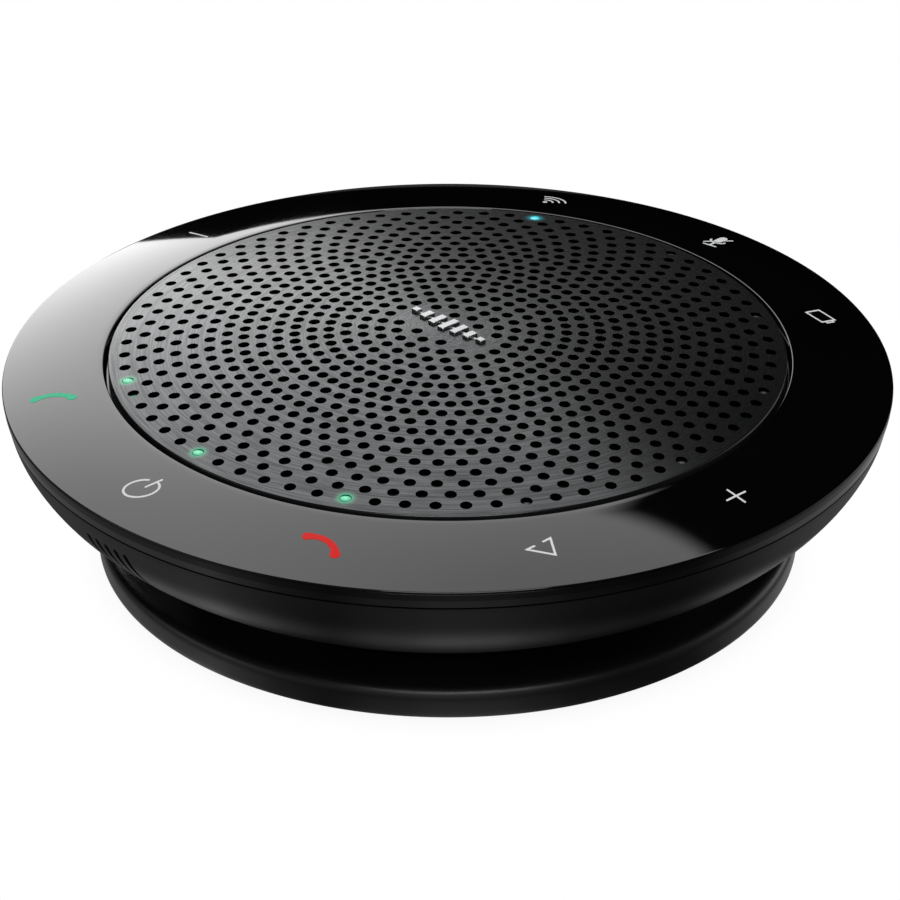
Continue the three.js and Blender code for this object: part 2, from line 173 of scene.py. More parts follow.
floor_material, floor_glow = emission_only("pale_floor")
floor_tree = floor_material.node_tree
floor_rays = node(floor_tree, "LightPath")
contact = node(floor_tree, "AmbientOcclusion", {"Distance": 0.012}, samples=8)
contact_shade = eased_range(floor_tree, contact.outputs["AO"], 0.2, 0.9, 0.94, 1.0)
seen_floor = product(floor_tree, contact_shade, floor_rays.outputs["Is Camera Ray"])
unseen = maths(floor_tree, "SUBTRACT", 1.0, floor_rays.outputs["Is Camera Ray"])
floor_place = node(floor_tree, "TexCoord").outputs["Object"]
from_middle = node(floor_tree, "VectorMath", {0: floor_place}, operation="LENGTH").outputs["Value"]
near_glow = eased_range(floor_tree, from_middle, 52 * mm, 56 * mm, 1.5, 0.45)
mid_glow = eased_range(floor_tree, from_middle, 60 * mm, 74 * mm, 1.0, 2.2)
far_fade = eased_range(floor_tree, from_middle, 76 * mm, 86 * mm, 1.0, 0.5)
table_strips = [(-180, 0.2), (-107, 0.25), (-92, 0.3), (-85, 0.42), (-78, 0.26), (-70, 0.11), (-63, 0.06),
                (-53, 0.18), (-43, 0.3), (-35, 0.26), (-28, 0.14), (-21, 0.06), (-7, 0.03), (0, 0.04),
                (6, 0.1), (12, 0.2), (24, 0.32), (60, 0.4), (100, 0.2), (150, 0.15), (179, 0.2)]
table_level = round_the_table(floor_tree, floor_place, table_strips)[0]
felt_floor = product(floor_tree, near_glow, mid_glow, far_fade, table_level, unseen)
feed(floor_glow, {"Strength": maths(floor_tree, "ADD", seen_floor, felt_floor)})
floor_corners = [(-3, -3), (3, -3), (3, 3), (-3, 3)]
flat_panel("floor", floor_corners, floor_material, Matrix.Translation((0, 0, -0.01 * mm)), seen=True)

room = bpy.data.worlds.new("room")
room.use_nodes = True
bpy.context.scene.world = room
room_tree = room.node_tree
room_rays = node(room_tree, "LightPath").outputs["Is Camera Ray"]
room_way = node(room_tree, "TexCoord").outputs["Generated"]
room_strips = [(-180, 0), (-150, 0.1), (-128, 0.5), (-113, 0.3), (-97, 0.08), (-83, 0.03), (-63, 0.1),
               (-43, 0.2), (-26, 0.1), (-13, 0.03), (20, 0), (45, 0.04), (60, 0.3), (85, 0.6), (108, 0),
               (179, 0)]
strip_level, room_rise = round_the_table(room_tree, room_way, room_strips)
in_front = node(room_tree, "VectorMath", {0: room_way, 1: (0.487, -0.112, 0)}, operation="DOT_PRODUCT")
steepness = maths(room_tree, "SUBTRACT", room_rise, in_front.outputs["Value"])
felt_room = product(room_tree, strip_level, eased_range(room_tree, steepness, 0.25, 0.60, 3.0, 0.0))
room_strength = node(room_tree, "Mix", {0: room_rays, 2: felt_room, 3: 1.0}, data_type="FLOAT")
feed(room_tree.nodes["Background"], {"Strength": room_strength.outputs[0], "Color": (1, 1, 1, 1)})
bpy.context.scene.view_settings.view_transform = "Standard"


# Base disc. One injection moulding in satin black plastic, turned up into a flat well for the
# battery, with a channel below for the foot ring. Four long screws clamp it to the frame.
def surface(name):
    """A new material, as (material, its tree, its shader, places on the object)."""
    material = bpy.data.materials.new(name)
    material.use_nodes = True
    tree = material.node_tree
    return material, tree, tree.nodes["Principled BSDF"], node(tree, "TexCoord").outputs["Object"]


def relief(tree, height, depth):
    """Raised and sunk detail of that depth in millimetres, for a shader's Normal."""
    return node(tree, "Bump", {"Height": height, "Distance": depth * mm}).outputs[0]


def moulded(name, colour, roughness, grain=0.3, depth=0.006, metallic=0.0, drift=0.12, coat=0.0):
    """A textured finish: fine grain, in mm, with slow drifts of colour and gloss."""
    material, tree, shader, place = surface(name)
    fine = node(tree, "TexNoise", {"Vector": place, "Scale": 1 / (grain * mm), "Detail": 3.0})
    slow = node(tree, "TexNoise", {"Vector": place, "Scale": 70.0, "Detail": 3.0}).outputs[0]
    darker, lighter = [(*[min(part * (1 + way * drift), 1) for part in colour], 1) for way in (-1, 1)]
    feed(shader, {"Base Color": mixed(tree, slow, darker, lighter),
                  "Metallic": metallic, "Coat Weight": coat,
                  "Roughness": eased_range(tree, slow, 0.3, 0.7, roughness * 0.93, roughness * 1.07),
                  "Normal": relief(tree, fine.outputs[0], depth)})
    return material


def eased(outline, rounding=0.15, steps=4):
    """Rounds the corners of a closed outline. A corner's third number is its own rounding."""
    rounded = []
    for i, corner in enumerate(outline):
        here = Vector(corner[:2])
        back = Vector(outline[i - 1][:2]) - here
        on = Vector(outline[(i + 1) % len(outline)][:2]) - here
        radius = corner[2] if len(corner) > 2 else rounding
        if radius == 0 or here.x == 0:
            rounded.append(tuple(here))
            continue
        reach = min(radius / math.tan(back.angle(on) / 2), back.length * 0.48, on.length * 0.48)
        start, end = here + back.normalized() * reach, here + on.normalized() * reach
        for k in range(steps + 1):
            t = k / steps
            rounded.append(tuple(start.lerp(here, t).lerp(here.lerp(end, t), t)))
    return rounded


def shaped(name, points, faces, material, sharp=40):
    """A shaded object from points in millimetres, with edges over the sharp angle kept crisp."""
    mesh = bpy.data.meshes.new(name)
    mesh.from_pydata([Vector(point) * mm for point in points], [], faces)
    mesh.materials.append(material)
    mesh.shade_smooth()
    mesh.set_sharp_from_angle(angle=math.radians(sharp))
    piece = bpy.data.objects.new(name, mesh)
    bpy.context.scene.collection.objects.link(piece)
    even = piece.modifiers.new("even_shading", "WEIGHTED_NORMAL")
    even.keep_sharp = True
    even.weight = 90
    return piece


def turned(name, outline, material, steps=240, x=0.0, y=0.0):
    """A solid turned about an upright axis, from a closed outline of (radius, height)."""
    points, rows = [], []
    for radius, height in outline:
        if radius < 1e-6:
            rows.append([len(points)] * steps)
            points.append((x, y, height))
            continue
        rows.append(range(len(points), len(points) + steps))
        for k in range(steps):
            turn = 2 * math.pi * k / steps
            points.append((x + radius * math.cos(turn), y + radius * math.sin(turn), height))
    faces = []
    for low, high in zip(rows, rows[1:] + rows[:1]):
        for k in range(steps):
            after = (k + 1) % steps
            corners = tuple(dict.fromkeys((low[k], low[after], high[after], high[k])))
            if len(corners) > 2:
                faces.append(corners)
    return shaped(name, points, faces, material)


def joined(piece, *others):
    """Puts the other pieces' meshes into the first piece."""
    whole = bmesh.new()
    for part in (piece, *others):
        whole.from_mesh(part.data)
    whole.to_mesh(piece.data)
    whole.free()
    for part in others:
        bpy.data.objects.remove(part)
    return piece


def cut(piece, *cutters):
    """Takes the cutters away from the piece."""
    tool = joined(*cutters) if len(cutters) > 1 else cutters[0]
    tool.modifiers.clear()
    taken = piece.modifiers.new("cut", "BOOLEAN")
    taken.object = tool
    taken.operation = "DIFFERENCE"
    taken.solver = "EXACT"
    piece.modifiers.move(len(piece.modifiers) - 1, 0)
    piece.modifiers["even_shading"].show_viewport = False
    bpy.context.view_layer.update()
    result = bpy.data.meshes.new_from_object(piece.evaluated_get(bpy.context.evaluated_depsgraph_get()))
    piece.modifiers.remove(piece.modifiers["cut"])
    piece.modifiers["even_shading"].show_viewport = True
    piece.data = result
    result.shade_smooth()
    result.set_sharp_from_angle(angle=math.radians(40))
    bpy.data.objects.remove(tool)
    return piece


def around(count, radius, start=0.0):
    """Places evenly spaced round the axis, as (x, y)."""
    turns = [math.radians(start) + 2 * math.pi * k / count for k in range(count)]
    return [(radius * math.cos(turn), radius * math.sin(turn)) for turn in turns]


def fasten(piece, slot, *nodes, body="housing"):
    """Fixes a finished piece to its body, in place of its plain solids."""
    if nodes:
        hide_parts(*nodes)
    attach(piece, body)
    return piece


def stud(radius, low, high, x, y, material=None, steps=48):
    """A plain round post or drill, used inside a moulding or to cut it."""
    return turned("stud", eased([(0, low), (radius, low), (radius, high), (0, high)], 0.12), material,
                  steps, x, y)


def drilled(piece, spots, radius, low, high):
    """The piece with an upright hole at each of the spots."""
    for x, y in spots:
        cut(piece, stud(radius, low, high, x, y))
    return piece


satin_black = moulded("satin_black_plastic", (0.007, 0.007, 0.0073), 0.36, grain=0.22, depth=0.004)
posts = around(4, 35.2, 45)
base_outline = [(0, 0.5), (31.2, 0.5, 0.3), (31.2, 1.6), (44.2, 1.6), (44.2, 0.5, 0.3), (48.26, 0.5, 1.5),
                (48.26, 5, 1.7), (31, 5, 0.3), (31, 2.4), (0, 2.4)]
base = turned("base_disc_moulding", eased(base_outline, steps=8), satin_black, steps=360)
drilled(base, posts, 2.8, 1, 3.4)
drilled(base, posts, 1.7, 3.3, 6)
fasten(base, "satin_black", "base_disc")

# Foot ring. A soft rubber ring with two grip grooves, pressed into the channel under the base
# disc, where it also hides the heads of the long screws.
foot_rubber = moulded("foot_rubber", (0.016, 0.016, 0.016), 0.72, grain=0.5, depth=0.02)
foot_outline = [(31.5, 0, 0.35), (35.2, 0), (35.5, 0.3), (35.9, 0.3), (36.2, 0), (39.2, 0), (39.5, 0.3),
                (39.9, 0.3), (40.2, 0), (43.9, 0, 0.35), (43.9, 1.5), (31.5, 1.5)]
fasten(turned("foot_ring_rubber", eased(foot_outline, 0.1), foot_rubber), "soft_rubber", "foot_ring")


# Screws. Zinc-plated steel pan-head screws with a cross recess and a rolled thread: four long
# ones from below, four that hold the loudspeaker and three on the main board.
zinc = moulded("zinc_plated_steel", (0.42, 0.43, 0.44), 0.34, grain=0.6, depth=0.004, metallic=1.0,
               drift=0.2)


def prism(name, outline, low, high, material, x=0.0, y=0.0):
    """An upright prism over a flat outline that runs anticlockwise."""
    count = len(outline)
    points = [(x + u, y + v, z) for z in (low, high) for u, v in outline]
    faces = [tuple(range(count))[::-1], tuple(range(count, 2 * count))]
    faces += [(k, (k + 1) % count, count + (k + 1) % count, count + k) for k in range(count)]
    return shaped(name, points, faces, material)


def screw(name, spot, shank_radius, thread_end, neck, head_radius, head_end):
    """A screw from the thread's end, past the neck under the head, to the head's crown."""
    pitch = 0.7
    way = 1 if head_end > neck else -1
    side = [(0, thread_end), (shank_radius * 0.55, thread_end)]
    height = thread_end + way * 0.5
    while (neck - height) * way > pitch:
        side += [(shank_radius * 0.8, height), (shank_radius, height + way * pitch / 2)]
        height += way * pitch
    side += [(shank_radius * 0.8, height), (shank_radius * 0.8, neck), (head_radius, neck, 0.15)]
    side += [(head_radius, head_end - way * 0.35, 0.5), (head_radius * 0.6, head_end), (0, head_end)]
    piece = turned(name, eased(side if way > 0 else side[::-1], 0.04, steps=2), zinc, 32, *spot)
    arm = head_radius * 0.5
    blade = 0.16 * head_radius
    plus = [(arm, blade), (blade, blade), (blade, arm), (-blade, arm), (-blade, blade), (-arm, blade)]
    plus += [(-u, -v) for u, v in plus]
    ends = (head_end - way * 0.7, head_end + way)
    return cut(piece, prism("recess", plus, min(ends), max(ends), None, *spot))


driver_spots = around(4, 29.8)
board_spots = around(3, 39)
for kind, stands_for, spots, lengths in [
        ("long", "case", posts, (1.25, 19.5, 3.2, 2.4, 1.8)),
        ("driver", "speaker", driver_spots, (1.0, 22.2, 27.0, 1.7, 27.9)),
        ("small", "board", board_spots, (0.9, 12.4, 15.6, 1.8, 16.5))]:
    for k, spot in enumerate(spots, 1):
        fasten(screw(f"{kind}_screw_{k:02d}", spot, *lengths), "zinc_steel", f"{stands_for}_screw_{k:02d}")

# Hub. A short moulded tube between the base disc and the casing, which forms the bottom of the
# groove that the lead is wound into. Four posts inside it pass the long screws.
hub_outline = [(38.2, 5), (40, 5, 0.6), (40, 11.5, 0.6), (38.2, 11.5)]
hub = turned("spool_hub_moulding", eased(hub_outline), satin_black)


def bored_posts(spots, radius, low, high, bore, bore_low, bore_high, material):
    """Round posts at the spots, each with a hole down it."""
    return [cut(stud(radius, low, high, x, y, material), stud(bore, bore_low, bore_high, x, y))
            for x, y in spots]


def lying(piece, height, way=1):
    """Lays a piece turned about Z along -Y, or along Y where way is -1, at that height."""
    tip = Matrix.Rotation(way * math.pi / 2, 4, "X")
    piece.data.transform(Matrix.Translation((0, 0, height * mm)) @ tip)
    return piece


hub_posts = bored_posts(posts, 3.5, 5.05, 11.45, 1.7, 4, 12, satin_black)
gland_height = 8.25
cut(hub, lying(stud(2.5, 30, 45, 0, 0), gland_height, -1))
fasten(joined(hub, *hub_posts), "satin_black", "spool_hub")

# Gland. A rubber grommet in the hub's rear wall, with a flange on each side of the wall and a
# bore for the lead.
gland_rubber = moulded("gland_rubber", (0.014, 0.014, 0.014), 0.6, grain=0.4, depth=0.01)
gland_outline = [(1.4, 36.6), (2.6, 36.6), (2.6, 37.8), (2.2, 37.9), (2.2, 40.3), (2.6, 40.4, 0.3),
                 (2.5, 41.3, 0.4), (1.4, 41.3, 0.2)]
gland = turned("lead_gland_grommet", eased(gland_outline, 0.1), gland_rubber, 64)
fasten(lying(gland, gland_height, -1), "soft_rubber", "lead_gland")


# Lower casing. A thin satin black bowl, moulded with bosses for the main board and five slots
# at the front that let sound in to the microphone. A fine seam parts it from the upper frame.
def curve(start, leave, arrive, end, steps=24):
    """Points on a smooth curve from start to end, steered by two handles."""
    handles = [Vector((*point, 0)) for point in (start, leave, arrive, end)]
    return [point[:2] for point in geometry.interpolate_bezier(*handles, steps + 1)]


casing_satin = moulded("satin_black_casing", (0.007, 0.007, 0.0073), 0.38, grain=0.22, depth=0.004)
bowl = [(22, 11.5), (48.6, 11.5), (49.6, 11.62)]
bowl += curve((50.2, 11.9), (55.6, 15.4), (59.0, 20.2), (59.52, 23.85))
bowl += curve((57.3, 23.85), (57.0, 19.6), (53.9, 15.6), (48.0, 13.3), 16) + [(22, 13.3)]
casing = turned("lower_casing_moulding", bowl, casing_satin, steps=360)
slot_count = 5
slot_pitch = math.radians(1.8)
slot_half_width = 0.4
slot_low, slot_high = 13.7, 21.8
slot_ends = [math.radians(15 * step) for step in range(13)]
slot_top = [(slot_half_width * math.cos(a), slot_high - slot_half_width * (1 - math.sin(a)))
            for a in slot_ends]
slot_foot = [(-u, slot_low + slot_half_width * (1 - math.sin(a)))
             for (u, _), a in zip(slot_top, slot_ends)]
for i in range(slot_count):
    turn = (i - (slot_count - 1) / 2) * slot_pitch
    slot_tool = lying(prism("slot", slot_top + slot_foot, 47, 62, None), 0)
    slot_tool.data.transform(Matrix.Rotation(turn, 4, "Z"))
    cut(casing, slot_tool)
casing_bosses = bored_posts(board_spots, 2.6, 13.2, 14.0, 1.2, 12.1, 15, casing_satin)
drilled(casing, posts, 1.7, 11, 14)
fasten(joined(casing, *casing_bosses), "satin_black", "lower_casing")


# Microphone. A small metal capsule on its own strip of circuit board, held behind the slots in
# a rubber boot that seals it to the casing.
def block(name, width, depth, low, high, material, x=0.0, y=0.0, edge=0.2, turn=0.0):
    """A box with rounded edges, turned about its own upright axis."""
    form = bmesh.new()
    bmesh.ops.create_cube(form, size=1)
    bmesh.ops.scale(form, vec=(width * mm, depth * mm, (high - low) * mm), verts=form.verts)
    bmesh.ops.bevel(form, geom=form.edges[:], offset=edge * mm, segments=3, affect="EDGES")
    place = Matrix.Translation(Vector((x, y, (low + high) / 2)) * mm) @ Matrix.Rotation(turn, 4, "Z")
    bmesh.ops.transform(form, matrix=place, verts=form.verts)
    piece = shaped(name, [], [], material)
    form.to_mesh(piece.data)
    form.free()
    piece.data.shade_smooth()
    piece.data.set_sharp_from_angle(angle=math.radians(40))
    return piece


def circuit_board(name):
    """Green solder mask over fine copper tracks and tinned pads."""
    material, tree, shader, place = surface(name)
    tracks = node(tree, "TexBrick", {
        "Vector": place, "Scale": 1 / (4 * mm), "Mortar Size": 0.05, "Brick Width": 1.7,
        "Row Height": 0.3, "Color1": (0, 0, 0, 1), "Color2": (0.1, 0.1, 0.1, 1), "Mortar": (1, 1, 1, 1)})
    pads = node(tree, "TexVoronoi", {"Vector": place, "Scale": 1 / (3.2 * mm)}, distance="CHEBYCHEV")
    on_pad = maths(tree, "LESS_THAN", pads.outputs["Distance"], 0.12)
    mask = mixed(tree, tracks.outputs[0], (0.008, 0.062, 0.026, 1), (0.02, 0.13, 0.05, 1))
    feed(shader, {"Base Color": mixed(tree, on_pad, mask, (0.55, 0.56, 0.54, 1)), "Metallic": on_pad,
                  "Roughness": eased_range(tree, on_pad, 0.0, 1.0, 0.42, 0.28),
                  "Normal": relief(tree, tracks.outputs[0], 0.03)})
    return material


board_green = circuit_board("green_circuit_board")
boot_rubber = moulded("boot_rubber", (0.018, 0.018, 0.018), 0.65, grain=0.4, depth=0.01)
tin_plate = moulded("tin_plate", (0.62, 0.63, 0.63), 0.28, grain=0.9, depth=0.004, metallic=1.0, drift=0.15)
mic_height = 18.85
mic_boot = block("microphone_rubber_boot", 12, 2.2, 16.8, 20.9, boot_rubber, 0, -52.5, edge=0.45)
boot_drill = lying(stud(1.5, 50, 56, 0, 0), mic_height)
fasten(cut(mic_boot, boot_drill), "soft_rubber", "microphone_boot")
capsule_outline = [(0, 49.6), (2, 49.6, 0.25), (2, 51.1, 0.2), (1.2, 51.1), (1.1, 50.9), (0, 50.9)]
mic_capsule = turned("microphone_capsule_can", eased(capsule_outline, 0.05), tin_plate, 64)
fasten(lying(mic_capsule, mic_height), "tin_plate", "microphone_capsule")
mic_board = block("microphone_board_strip", 10, 0.8, 16.5, 21.3, board_green, 0, -48.9, edge=0.08)
fasten(mic_board, "circuit_board", "microphone_board")

# Battery. A soft-cased rechargeable cell with rounded ends in the base's well, a foam pad that
# keeps it off the magnet, and a two-core lead up to the main board.
cell_wrap = moulded("cell_wrap_film", (0.03, 0.085, 0.24), 0.38, grain=1.4, depth=0.03, drift=0.2, coat=0.3)
cell_half, cell_round, cell_length = 25, 3, 34
cell_turns = [math.radians(-90 + 15 * step) for step in range(13)]
cell_end = [(cell_half - cell_round + cell_round * math.cos(a), cell_round * math.sin(a))
            for a in cell_turns]
cell_section = cell_end + [(-u, -v) for u, v in cell_end]
cell = prism("battery_cell_pouch", cell_section, -cell_length / 2, cell_length / 2, cell_wrap)
cell_shape = bmesh.new()
cell_shape.from_mesh(cell.data)
rims = [edge for edge in cell_shape.edges if edge.is_manifold and edge.calc_face_angle() > 1.2]
bmesh.ops.bevel(cell_shape, geom=rims, offset=0.8 * mm, segments=3, affect="EDGES")
cell_shape.to_mesh(cell.data)
cell_shape.free()
fasten(lying(cell, 5.8), "cell_wrap", "battery_cell")
pad_foam = moulded("grey_pad_foam", (0.07, 0.07, 0.072), 0.95, grain=0.35, depth=0.12, drift=0.3)
pad = block("battery_foam_pad", 30, 24, 9.05, 10.8, pad_foam, edge=0.5)
fasten(pad, "grey_foam", "battery_pad")


def wired(name, route, gauge, material, turn=0.0):
    """A two-core lead: two round insulated wires side by side along a smooth route."""
    strand = bpy.data.curves.new(name, "CURVE")
    strand.dimensions = "3D"
    strand.bevel_depth = gauge / 2 * mm
    strand.bevel_resolution = 4
    strand.resolution_u = 8
    for side in (-0.5, 0.5):
        spline = strand.splines.new("BEZIER")
        spline.bezier_points.add(len(route) - 1)
        for knot, (x, z) in zip(spline.bezier_points, route):
            knot.co = Vector((x, side * gauge, z)) * mm
            knot.handle_left_type = knot.handle_right_type = "AUTO"
    strand.use_fill_caps = True
    strand.materials.append(material)
    piece = bpy.data.objects.new(name, strand)
    bpy.context.scene.collection.objects.link(piece)
    strand.transform(Matrix.Rotation(turn, 4, "Z"))
    return piece


sheath_red = moulded("red_lead_sheath", (0.26, 0.012, 0.010), 0.42, grain=0.5, depth=0.004, coat=0.2)
battery_route = [(25.3, 5.8), (27.6, 6.1), (28.3, 8), (26.4, 9.8), (22.4, 10.3),
                 (19.7, 11.6), (19.3, 14), (20.6, 16.3), (23.6, 17.2), (26.7, 17.2)]
fasten(wired("battery_wires", battery_route, 0.6, sheath_red), "lead_sheath", "battery_lead")
speaker_route = [(26.9, 17.2), (25, 17.3), (23.4, 18.2), (22.9, 19.6), (23, 21)]
speaker_wires = wired("speaker_wires", speaker_route, 0.5, sheath_red, math.pi / 3)
fasten(speaker_wires, "lead_sheath", "speaker_lead")

# Main board. A ring of circuit board round the magnet, screwed to bosses in the casing, with
# the processor, a screened radio and the connectors soldered to its top.
board_outline = [(22, 14.3), (42.5, 14.3), (42.5, 15.5), (22, 15.5)]
board = turned("main_board_ring", eased(board_outline, 0.1), board_green)
drilled(board, posts, 3, 13, 17)
drilled(board, board_spots, 1.2, 13, 17)
fasten(board, "circuit_board", "main_board")
on_board, sink = 15.6, 0.1
chip_black = moulded("black_chip_resin", (0.02, 0.02, 0.021), 0.5, grain=0.12, depth=0.006)
ivory = moulded("ivory_connector_nylon", (0.62, 0.58, 0.47), 0.42, grain=0.5, depth=0.006, drift=0.05)
chip = block("processor_package", 9, 9, on_board - sink, 16.7, chip_black, -27.7, 15.5, edge=0.1)
chip_legs = [block("leg", 0.3, 10.2, on_board - sink, 15.8, chip_black, -27.7 + 0.8 * step, 15.5, 0.03)
             for step in range(-5, 6)]
fasten(joined(chip, *chip_legs), "chip_black", "processor_chip")
shield = block("radio_screening_can", 14, 11, on_board - sink, 17.8, tin_plate, -30, -11, edge=0.35)
shield_dimples = [stud(0.5, 17.6, 18.4, -30 + u, -11 + v) for u in (-5, 0, 5) for v in (-3.5, 3.5)]
fasten(cut(shield, *shield_dimples), "tin_plate", "radio_shield")


def header(name, width, depth, high, x, y, material, slot, stands_for, ways, turn=0.0):
    """A moulded connector shell with a row of contact openings in its top."""
    shell = block(name, width, depth, on_board - sink, high, material, x, y, 0.25, turn)
    row = Vector((1, 0)) if width > depth else Vector((0, 1))
    opening = (0.6, depth * 0.45) if width > depth else (width * 0.45, 0.6)
    for way in range(ways):
        offset = row * (way - (ways - 1) / 2) * (max(width, depth) * 0.8 / ways)
        offset.rotate(Matrix.Rotation(turn, 2))
        spot = (x + offset.x, y + offset.y)
        cut(shell, block("opening", *opening, high - 0.8, high + 1, None, *spot, 0.05, turn))
    return fasten(shell, slot, stands_for)


header("battery_header", 5, 7, 18.6, 29.5, 0, ivory, "connector_ivory", "battery_connector", 2)
header("lead_header", 9, 5, 19.6, 0, 34, ivory, "connector_ivory", "lead_connector", 5)
header("touch_header", 8, 4, 17.2, 16, -29, chip_black, "chip_black", "touch_connector", 8)
third_turn = math.pi / 3
header("speaker_header", 4.5, 5.5, 18.6, 29.5 * math.cos(third_turn), 29.5 * math.sin(third_turn), ivory,
       "connector_ivory", "speaker_connector", 2, third_turn)

# Loudspeaker, fixed parts. A pressed steel basket with four windows, screwed to the deck over a
# foam gasket, with a steel yoke, a nickel-plated magnet and a pole plate bonded in its foot.
basket_outline = [(17.5, 16.5), (18.5, 16.5), (18.5, 18.6), (20.8, 19), (24.4, 26.1), (32, 26.1),
                  (32, 26.9), (23.8, 26.9), (20.2, 19.8), (17.5, 19.8)]
basket_steel = moulded("pressed_basket_steel", (0.30, 0.31, 0.32), 0.38, grain=0.8, depth=0.01, metallic=1.0)
basket = turned("pressed_basket", eased(basket_outline, 0.25), basket_steel)
for x, y in around(4, 23, 45):
    window = block("window", 10, 14, 20.4, 24.6, None, x, y, 0.8, math.atan2(y, x))
    cut(basket, window)
drilled(basket, driver_spots, 1.3, 25, 28)
fasten(basket, "zinc_steel", "speaker_basket")
gasket_outline = [(27.5, 25.0), (31.7, 25.0), (31.7, 26.0), (27.5, 26.0)]
gasket = turned("basket_gasket_foam", eased(gasket_outline, 0.3), pad_foam)
drilled(gasket, driver_spots, 1.3, 24, 28)
fasten(gasket, "grey_foam", "speaker_gasket")
yoke_outline = [(0, 11), (17, 11, 0.8), (17, 19, 0.4), (11.2, 19, 0.2), (11.2, 12.6), (0, 12.6)]
fasten(turned("yoke_cup", eased(yoke_outline), zinc), "zinc_steel", "magnet_yoke")
nickel = moulded("nickel_plate", (0.50, 0.48, 0.45), 0.22, grain=0.7, depth=0.003, metallic=1.0, drift=0.1)
magnet_outline = [(0, 12.6), (9.2, 12.6, 0.4), (9.2, 16.7, 0.4), (0, 16.7)]
fasten(turned("magnet_puck", eased(magnet_outline), nickel), "nickel_magnet", "magnet_disc")
pole_outline = [(0, 16.7), (9.3, 16.7), (9.3, 19, 0.35), (0, 19)]
fasten(turned("pole_washer", eased(pole_outline), zinc), "zinc_steel", "pole_plate")


# Loudspeaker, moving parts. A pressed paper cone and cap bonded to a thin former, which carries
# the copper voice coil in the magnet's gap. They travel together. The paper shows its fibres.
cone_paper = moulded("cone_paper", (0.022, 0.022, 0.024), 0.85, grain=0.7, depth=0.05, drift=0.35)
paper_fibres = next(made for made in cone_paper.node_tree.nodes if made.bl_idname == "ShaderNodeTexNoise")
feed(paper_fibres, {"Distortion": 2.5})
cone_outline = [(10.0, 20.9), *curve((10.6, 21.0), (13.8, 23.3), (17.0, 26.0), (20.6, 27.1), 12)]
cone_outline += [(21.8, 27.4), (21.8, 28), (20.4, 28)]
cone_outline += curve((20.2, 27.8), (16.7, 26.6), (13.3, 23.9), (10.0, 21.6), 12)
cone = turned("paper_cone", cone_outline, cone_paper, 192)
fasten(cone, "cone_paper", "speaker_cone", body="cone_assembly")
cap_outline = curve((0, 24.75), (5.5, 24.7), (9.5, 24.0), (11.9, 22.95), 12)
cap_outline += curve((11.9, 23.35), (9.6, 24.4), (5.5, 25.1), (0, 25.1), 12)
dust_cap = turned("paper_dust_cap", cap_outline, cone_paper, 192)
fasten(dust_cap, "cone_paper", "dust_cap", body="cone_assembly")
former_paper = moulded("kraft_former_paper", (0.36, 0.20, 0.08), 0.6, grain=0.5, depth=0.01)
former_outline = [(9.7, 14.6), (9.95, 14.6), (9.95, 22), (9.7, 22)]
former = turned("kraft_coil_former", eased(former_outline, 0.05, 2), former_paper, 128)
fasten(former, "winding_paper", "coil_former", body="cone_assembly")
enamelled = moulded("enamelled_copper", (0.62, 0.24, 0.09), 0.3, grain=0.6, depth=0.004, metallic=1.0)
wire_gauge = 0.22
coil_low, coil_inner, coil_outer = 14.95, 10.0, 10.7
wraps = 19
coil_outline = [(coil_inner, coil_low), (coil_outer - 0.1, coil_low)]
for wrap in range(wraps):
    foot = coil_low + wrap * wire_gauge
    coil_outline += [(coil_outer, foot + wire_gauge * 0.25), (coil_outer + 0.05, foot + wire_gauge * 0.5),
                     (coil_outer, foot + wire_gauge * 0.75), (coil_outer - 0.04, foot + wire_gauge)]
coil_outline += [(coil_inner, coil_low + wraps * wire_gauge)]
winding = turned("copper_winding", coil_outline, enamelled, 96)
fasten(winding, "copper_wire", "voice_coil", body="cone_assembly")

# Loudspeaker, flexing parts. A thin rubber surround and a stiffened woven spider join the cone
# to the basket. On the real speaker the outer edge of each stays put and the inner edge travels with the
# cone; here both are built in place and left unfastened.
surround_rubber = moulded("surround_rubber", (0.014, 0.014, 0.015), 0.5, grain=0.6, depth=0.008)
surround_outline = [(26.8, 27), (25.1, 27)]
surround_outline += curve((24.8, 27.02), (24.1, 27.45), (23.4, 28.1), (22.2, 28.1), 12)
surround_outline += [(20.7, 28.1), (20.7, 28.5)]
surround_outline += curve((22.2, 28.5), (23.7, 28.45), (24.3, 27.8), (25.2, 27.4), 12)
surround_outline += [(26.8, 27.4)]
surround = turned("rubber_surround", surround_outline[::-1], surround_rubber, 192)
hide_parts("cone_surround")
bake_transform(surround)


def weave(tree, place, operation, pitch, unevenness):
    """Two sets of crossing threads, laid over each other by that operation."""
    threads = {"Vector": place, "Scale": 1 / (pitch * mm), "Distortion": unevenness}
    return maths(tree, operation, *[node(tree, "TexWave", threads, bands_direction=direction).outputs[0]
                                    for direction in ("X", "Y")])


spider_cloth, spider_tree, spider_shader, spider_place = surface("resined_spider_cloth")
spider_weave = weave(spider_tree, spider_place, "MULTIPLY", 2.2, 0.4)
spider_colour = mixed(spider_tree, spider_weave, (0.16, 0.09, 0.035, 1), (0.42, 0.27, 0.11, 1))
feed(spider_shader, {"Base Color": spider_colour, "Roughness": 0.8,
                     "Normal": relief(spider_tree, spider_weave, 0.06)})
spider_inner, spider_outer = 10.1, 20.0
folds, fold_height, spider_sheet = 5, 0.08, 0.28
spider_steps = 60


def spider_height(share):
    """The spider's top: level at both edges, falling outwards through shallow folds."""
    fall = share * share * (3 - 2 * share)
    fold = math.sin(2 * math.pi * folds * share) * math.sin(math.pi * share)
    return 20.78 - 0.6 * fall + fold_height * fold


